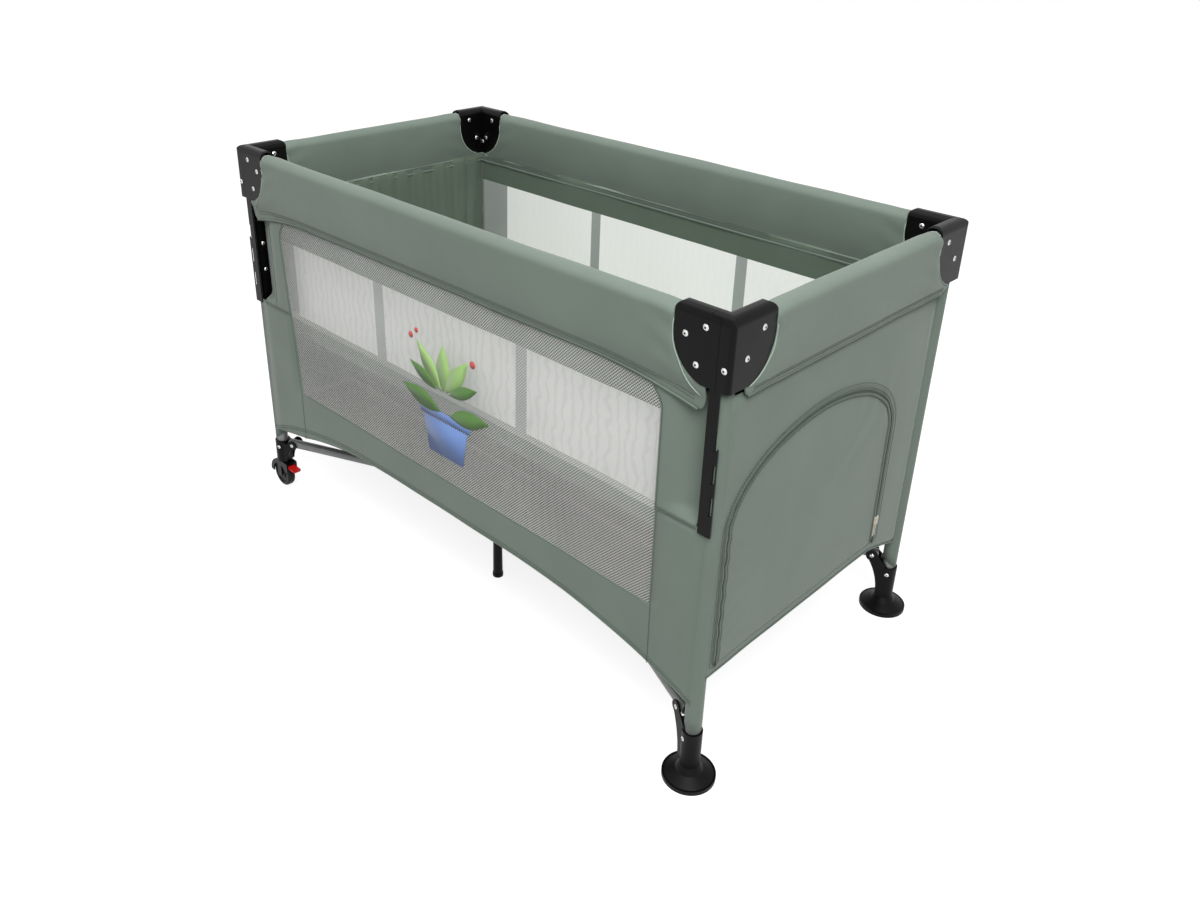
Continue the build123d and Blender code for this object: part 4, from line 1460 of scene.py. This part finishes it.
class PLAYPEN_OT_leg_sleeves(bpy.types.Operator):
    """Cloth sleeves round the four legs"""

    bl_idname = "playpen.leg_sleeves"
    bl_label = "Leg sleeves"

    def execute(self, context):
        s = sizes()
        top = 0.668
        sides = 28
        slant_most, slant_turn = 0.020, 0.4
        map_height = 0.55
        us = [2 * math.pi * n / sides for n in range(sides)]
        vs = lines(0.0, 1.0, 0.04)
        uvs = [(u * s.sleeve, v * map_height) for v in vs for u in us]
        for corner, right, back in corners():
            bottom = s.sleeve_right if right > 0 else s.sleeve_left

            def point(u, v):
                highest = math.atan2(-back * slant_turn, -right)
                slant = slant_most * (0.5 + 0.5 * math.cos(u - highest))
                z = bottom + slant + (top - bottom - slant) * v
                radius = s.sleeve + 0.0004 * ripple(0.02 * u, z, 1.3 + right + 2 * back)
                return (right * leg_x + radius * math.cos(u), back * leg_y + radius * math.sin(u), z)

            points = [point(u, v) for v in vs for u in us]
            faces = quads(len(vs), sides, round_columns=True)
            piece = build(corner + "_leg_sleeve", points, faces, ["wall_cloth"], uvs)
            thicken(piece, 0.001)
            carried(piece, "leg_" + corner)
        return {"FINISHED"}


class PLAYPEN_OT_base_floor(bpy.types.Operator):
    """Cloth floor in three strips: the outer ones hang on the long walls, the middle one on the hub"""

    bl_idname = "playpen.base_floor"
    bl_label = "Base floor"

    def execute(self, context):
        s = sizes()
        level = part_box("base_floor")[1].z
        wall_gap, hem_rise, bend_gap = 0.001, 0.003, 0.0015
        rise_run, end_run, bend_run = 0.09, 0.02, 0.06
        sag_depth, wave_depth = 0.004, 0.001
        reach_x = wall_x - wall_gap
        reach_y = wall_y - wall_gap
        inner = s.folded_y / 2
        leg_cut = 0.030

        def point(x, y):
            u, v = abs(x), abs(y)
            edge = hem(u) + hem_rise - level
            fall = edge * ease(v, reach_y - rise_run, reach_y) * (1 - ease(u, reach_x - end_run, reach_x))
            sag = -sag_depth * math.sin(math.pi * u / reach_x) * math.sin(math.pi * v / reach_y)
            inwards = (leg_bend(y) + bend_gap) * ease(x, reach_x - bend_run, reach_x)
            return (x - inwards, y, level + fall + sag + wave_depth * ripple(x, y, 3.0))

        def beside_legs(x, y):
            return (reach_x - abs(x)) + (reach_y - abs(y)) > leg_cut

        us = lines(-reach_x, reach_x, 0.03, 0.0)
        strips = (("front", -reach_y, -inner), ("middle", -inner, inner), ("back", inner, reach_y))
        for part, start, end in strips:
            vs = lines(start, end, 0.02)
            piece = grid(part + "_floor_cloth", us, vs, point, ["shaded_lining_cloth"], beside_legs)
            thicken(piece, 0.0015)
            if part == "middle":
                carried(piece, "hub")
                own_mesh(piece)
                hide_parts("base_floor")
            else:
                hang(piece, part)
        return {"FINISHED"}


class PLAYPEN_OT_bassinet(bpy.types.Operator):
    """Hung bassinet: green band, white panels, grey strips and its own floor"""

    bl_idname = "playpen.bassinet"
    bl_label = "Bassinet"

    def execute(self, context):
        for side in all_sides:
            self.wall(side)
        self.floor()
        return {"FINISHED"}

    def wall(self, side):
        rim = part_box("bassinet_walls")[1]
        top = rim.z
        bottom = basket_low.z
        band = {"front": 0.588, "back": 0.606, "left": 0.592, "right": 0.592}[side]
        plinth = 0.438
        floor_gap = 0.0018
        drop_room = 0.0035
        wave_depth, gather_depth = 0.0014, 0.0022
        step = 0.006 if side == "left" else 0.012
        strips = {
            "front": ((-0.211, -0.183), (0.168, 0.194), (-0.60, -0.477), (0.477, 0.60)),
            "back": ((-0.204, -0.178), (0.179, 0.205), (-0.60, -0.477), (0.477, 0.60)),
        }.get(side, ())
        half, out = basket_high.x + floor_gap, basket_high.y + floor_gap
        rim_out = rim.y
        if not long_side(side):
            half, out = out, half
            rim_out = rim.x
        us = lines(-half, half, step, *[mark for pair in strips for mark in pair])
        vs = lines(bottom, top, 0.012, band, plinth)

        def point(u, v):
            held = ease(v, bottom, bottom + 0.03) * (1 - ease(v, top - 0.02, top))
            slack = 1 - ease(abs(u), half - 0.03, half)
            wave = wave_depth * ripple(u, v, 7.0 + len(side)) * slack
            if not long_side(side):
                gathers = math.sin(150 * u + 3 * math.sin(9 * v + 17 * u)) + 0.5 * math.sin(310 * u + 2)
                wave -= gather_depth * (gathers + 1.5) * slack * held
            if side == "front":
                wave -= drop_room * slack
            return place(side, u, out - 0.0006 + wave, v)

        def slot_of(u, v):
            if v > band or v < plinth or not long_side(side):
                return 0
            return 2 if any(a < u < b for a, b in strips) else 1

        panel = "crease_shaded_panel" if side == "front" else "white_panel"
        materials = ["shaded_lining_cloth", panel, "strip_knit"]
        piece = grid(side + "_bassinet_wall", us, vs, point, materials, None, slot_of)
        hung(piece, 0.0010, side, "cloth_pale" if long_side(side) else "cloth_green")
        if side == "front":
            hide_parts("bassinet_walls")
        rim_end = cover_end(side) - 0.010
        path = [place(side, u, rim_out - 0.0022, top - 0.003) for u in lines(-rim_end, rim_end, 0.02)]
        hang(tube(side + "_bassinet_cord", path, 0.0021, "pale_cord_and_highlight"), side)
        heights = (band + 0.003, band + 0.007)
        rows = [[raised(side, point(u, v), -stitch_lift) for u in us] for v in heights]
        sewn(side + "_bassinet_stitches", rows, side)

    def floor(self):
        step = 0.03
        us = lines(-basket_high.x, basket_high.x, step)
        vs = lines(-basket_high.y, basket_high.y, step)

        def point(u, v):
            return (u, v, basket_high.z - 0.0004 * (1 + ripple(u, v, 0.5)))

        floor = grid("bassinet_floor_cloth", us, vs, point, ["shaded_lining_cloth"])
        thicken(floor, 0.0010)
        carried(floor, "bassinet_floor")
        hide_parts("bassinet_floor")


class PLAYPEN_OT_mattress(bpy.types.Operator):
    """Folding pad of four stuffed panels"""

    bl_idname = "playpen.mattress"
    bl_label = "Mattress"

    def execute(self, context):
        low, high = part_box("mattress")
        panels = 4
        fold = 0.010
        width = (high.x - low.x - (panels - 1) * fold) / panels
        deep = high.y - low.y
        tall = high.z - low.z
        y_middle = (low.y + high.y) / 2
        z_middle = low.z + tall / 2
        centres = [low.x + width / 2 + n * (width + fold) for n in range(panels)]
        pad = stuffed_panel(width - 0.006, deep - 0.006, tall - 0.007)
        pieces = []
        for n, centre in enumerate(centres):
            mesh = pad.data.copy()
            mesh.transform(Matrix.Translation((centre, y_middle, z_middle)))
            pieces.append(added(f"mattress_panel_{n + 1}", mesh))
        bpy.data.objects.remove(pad)
        margin = 0.010
        us = lines(low.x + margin, high.x - margin, 0.04)
        vs = lines(low.y + margin, high.y - margin, 0.04)
        pieces.append(grid("mattress_web", us, vs, lambda u, v: (u, v, low.z + 0.002), ["pad_cloth"]))
        piece = joined("mattress_pad", pieces)
        piece.data.shade_smooth()
        settle_inside(piece, low, high)
        carried(piece, "mattress")
        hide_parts("mattress")
        bend = 0.018
        arm_x = width / 2 - 0.004 - bend
        arm_y = deep / 2 - 0.004 - bend
        cords = []
        for n, centre in enumerate(centres):
            path = []
            for qx, qy, start in ((1, 1, 0), (-1, 1, 90), (-1, -1, 180), (1, -1, 270)):
                for step in range(5):
                    angle = math.radians(start + 22.5 * step)
                    x = centre + qx * arm_x + bend * math.cos(angle)
                    y = y_middle + qy * arm_y + bend * math.sin(angle)
                    path.append((x, y, z_middle))
            cords.append(tube(f"mattress_cord_{n}", path, 0.0018, "pale_cord_and_highlight", closed=True))
        carried(joined("mattress_cord", cords), "mattress")
        return {"FINISHED"}


class PLAYPEN_OT_print(bpy.types.Operator):
    """A plain potted plant printed on the mesh windows"""

    bl_idname = "playpen.window_print"
    bl_label = "Window print"

    def execute(self, context):
        low_shapes = [
            ("pot_blue", [(-0.046, 0.330), (0.046, 0.330), (0.058, 0.398), (-0.058, 0.398)]),
            ("pot_blue", [(-0.066, 0.400), (0.066, 0.400), (0.066, 0.416), (-0.066, 0.416)]),
            ("leaf_dark", leaf(0.012, 0.417, 0.105, 0.020, 12)),
            ("leaf_dark", leaf(-0.012, 0.417, 0.105, 0.020, 168)),
        ]
        high_shapes = [
            ("leaf_light", leaf(0.0, 0.459, 0.088, 0.021, 88)),
            ("leaf_light", leaf(0.006, 0.459, 0.098, 0.019, 52)),
            ("leaf_light", leaf(-0.006, 0.459, 0.098, 0.019, 128)),
            ("leaf_dark", leaf(0.016, 0.459, 0.080, 0.014, 24)),
            ("leaf_dark", leaf(-0.016, 0.459, 0.080, 0.014, 156)),
            ("berry_red", disc(0.078, 0.536, 0.007)),
            ("berry_red", disc(-0.082, 0.540, 0.006)),
            ("berry_red", disc(-0.066, 0.553, 0.005)),
        ]
        low_out = wall_y + 0.0009
        high_out = wall_y + sizes().cloth + 0.0014
        for side in long_sides:
            self.printed(side, "low", low_shapes, None, low_out)
            self.printed(side, "high", high_shapes, upper_body(side), high_out)
        return {"FINISHED"}

    def printed(self, side, part, shapes, body, out):
        """One layer of the print, on the lower or the upper window mesh."""
        middle_u = 0.02
        points = []
        faces = []
        uvs = []
        for _, outline in shapes:
            first = len(points)
            lift = 0.0001 * len(faces)
            for u, z in outline:
                across = u + middle_u
                points.append(place(side, across, out + lift + wall_wave(side, across, z), z))
                uvs.append((across, z))
            faces.append(tuple(range(first, len(points))))
        materials = list(dict.fromkeys(material for material, _ in shapes))
        slots = [materials.index(material) for material, _ in shapes]
        piece = build(f"{side}_print_{part}", points, faces, materials, uvs, slots)
        outward_from(piece, pen_middle)
        hung(piece, 0.0003, side, "mesh_grey", body)


class PLAYPEN_OT_fasteners(bpy.types.Operator):
    """Screws of the corner housings and tracks, and rivets of the brackets"""

    bl_idname = "playpen.fasteners"
    bl_label = "Screws and rivets"

    def execute(self, context):
        s = sizes()
        end_face = [(0.045, 0.027), (0.013, 0.061)]
        front_face = [(0.053, 0.0395), (0.022, 0.022), (0.033, 0.077)]
        post_face = (-0.011, 0.071)
        inner_face = [(0.045, 0.023), (0.024, 0.066)]
        inner_corner = (0.0125, 0.076)
        track_heights = (0.520, 0.575)
        track_in = 0.003
        for corner, right, back in corners():
            x, y = right * leg_x, back * leg_y
            leg = "leg_" + corner
            fixed = []
            moving = []
            for reach, drop in end_face:
                fixed.append(((x + right * cap_out, y - back * reach, cap_top - drop), (right, 0, 0)))
            for reach, drop in front_face:
                spot = ((x - right * reach, y + back * cap_out, cap_top - drop), (0, back, 0))
                (moving if back < 0 else fixed).append(spot)
            reach, drop = post_face
            fixed.append(((x - right * reach, y + back * cap_out, cap_top - drop), (0, back, 0)))
            for reach, drop in inner_face:
                fixed.append(((x - right * cap_in, y - back * reach, cap_top - drop), (-right, 0, 0)))
            if back > 0:
                for reach, drop in (*inner_face, inner_corner):
                    fixed.append(((x - right * reach, y - cap_in, cap_top - drop), (0, -1, 0)))
            fastened(corner + "_corner_screws", fixed, s.screw, leg)
            if back < 0:
                end = "right" if right > 0 else "left"
                fastened(f"front_carriage_{end}_screws", moving, s.screw, "front_carriage_" + end)
                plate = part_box("track_right")[0].x if right > 0 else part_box("track_left")[1].x
                spots = [((plate, y - track_in, z), (-right, 0, 0)) for z in track_heights]
                fastened(corner + "_track_screws", spots, s.screw * 0.8, leg)
            fastened(corner + "_bracket_rivets", bracket_rivets(right, back), s.screw * 0.85, leg)
        return {"FINISHED"}


class PLAYPEN_OT_stage(bpy.types.Operator):
    """Floor, light and camera"""

    bl_idname = "playpen.stage"
    bl_label = "Stage"

    def execute(self, context):
        self.floor()
        self.sky(context.scene)
        self.lamps()
        self.camera(context.scene)
        context.scene.view_settings.view_transform = "Standard"
        return {"FINISHED"}

    def floor(self):
        reach = 14.0
        spots = [(-reach, -reach, 0), (reach, -reach, 0), (reach, reach, 0), (-reach, reach, 0)]
        mesh = bpy.data.meshes.new("stage_floor")
        mesh.from_pydata(spots, [], [(0, 1, 2, 3)])
        pale = bpy.data.materials.new("stage_pale")
        pale.use_nodes = True
        tree = pale.node_tree
        tree.nodes.clear()
        diffuse = add(tree, "ShaderNodeBsdfDiffuse", Color=(0.3, 0.3, 0.3, 1))
        shade = add(tree, "ShaderNodeBsdfDiffuse", Color=(0.4, 0.4, 0.4, 1))
        glow = add(tree, "ShaderNodeEmission", Color=(1, 1, 1, 1), Strength=0.82)
        shown = tree.nodes.new("ShaderNodeAddShader")
        wire(tree, glow, 0, shown, 0)
        wire(tree, shade, 0, shown, 1)
        looked_at(tree, "ShaderNodeOutputMaterial", diffuse, shown)
        mesh.materials.append(pale)
        added("stage_floor", mesh)

    def sky(self, scene):
        world = bpy.data.worlds.new("studio")
        scene.world = world
        world.use_nodes = True
        tree = world.node_tree
        tree.nodes.clear()
        light = add(tree, "ShaderNodeBackground", Color=(1, 1, 1, 1), Strength=0.45)
        white = add(tree, "ShaderNodeBackground", Color=(1, 1, 1, 1), Strength=1.0)
        looked_at(tree, "ShaderNodeOutputWorld", light, white)

    def lamps(self):
        aim = Vector(pen_middle)
        lamps = (
            ("key", (1.9, -1.7, 3.1), 2.0, 115.0),
            ("top", (-0.1, -0.1, 2.8), 2.0, 20.0),
            ("fill", (-2.4, -2.4, 1.7), 2.4, 5.0),
        )
        for name, spot, size, power in lamps:
            data = bpy.data.lights.new(name, "AREA")
            data.size = size
            data.energy = power
            lamp = added(name, data)
            lamp.location = spot
            lamp.rotation_euler = (aim - Vector(spot)).to_track_quat("-Z", "Y").to_euler()

    def camera(self, scene):
        spot = (1.242, -1.262, 1.239)
        azimuth, elevation, roll = (math.radians(v) for v in (43.96, 24.73, 1.41))
        level = math.cos(elevation)
        forward = Vector((-math.sin(azimuth) * level, math.cos(azimuth) * level, -math.sin(elevation)))
        across = forward.cross(Vector((0, 0, 1))).normalized()
        up = across.cross(forward)
        right = across * math.cos(roll) + up * math.sin(roll)
        above = -across * math.sin(roll) + up * math.cos(roll)
        data = bpy.data.cameras.new("camera")
        data.sensor_width = 36.0
        data.lens = 30.47
        data.shift_x = 0.0218
        data.shift_y = -0.0787
        camera = added("camera", data)
        turn = Matrix((right, above, -forward)).transposed().to_4x4()
        camera.matrix_world = Matrix.Translation(spot) @ turn
        scene.camera = camera


class PLAYPEN_PT_panel(bpy.types.Panel):
    """Lists the steps that dress the playpen"""

    bl_label = "Folding playpen"
    bl_idname = "PLAYPEN_PT_panel"
    bl_space_type = "VIEW_3D"
    bl_region_type = "UI"
    bl_category = "Playpen"

    def draw(self, context):
        for group in (context.scene.playpen_sizes, context.scene.playpen_colours):
            box = self.layout.box()
            for name in group.__annotations__:
                box.prop(group, name)
        for step in steps:
            self.layout.operator(step.bl_idname)


groups = (PlaypenSizes, PlaypenColours)
steps = (
    PLAYPEN_OT_finishes,
    PLAYPEN_OT_rail_covers,
    PLAYPEN_OT_long_walls,
    PLAYPEN_OT_end_walls,
    PLAYPEN_OT_leg_sleeves,
    PLAYPEN_OT_base_floor,
    PLAYPEN_OT_bassinet,
    PLAYPEN_OT_mattress,
    PLAYPEN_OT_print,
    PLAYPEN_OT_fasteners,
    PLAYPEN_OT_stage,
)


def register():
    for kind in (*groups, *steps, PLAYPEN_PT_panel):
        bpy.utils.register_class(kind)
    bpy.types.Scene.playpen_sizes = PointerProperty(type=PlaypenSizes)
    bpy.types.Scene.playpen_colours = PointerProperty(type=PlaypenColours)


def unregister():
    del bpy.types.Scene.playpen_colours
    del bpy.types.Scene.playpen_sizes
    for kind in reversed((*groups, *steps, PLAYPEN_PT_panel)):
        bpy.utils.unregister_class(kind)


def main():
    register()
    bpy.ops.playpen.finishes()
    bpy.ops.playpen.rail_covers()
    bpy.ops.playpen.long_walls()
    bpy.ops.playpen.end_walls()
    bpy.ops.playpen.leg_sleeves()
    bpy.ops.playpen.base_floor()
    bpy.ops.playpen.bassinet()
    bpy.ops.playpen.mattress()
    bpy.ops.playpen.window_print()
    bpy.ops.playpen.fasteners()
    bpy.ops.playpen.stage()


if __name__ == "__main__":
    main()
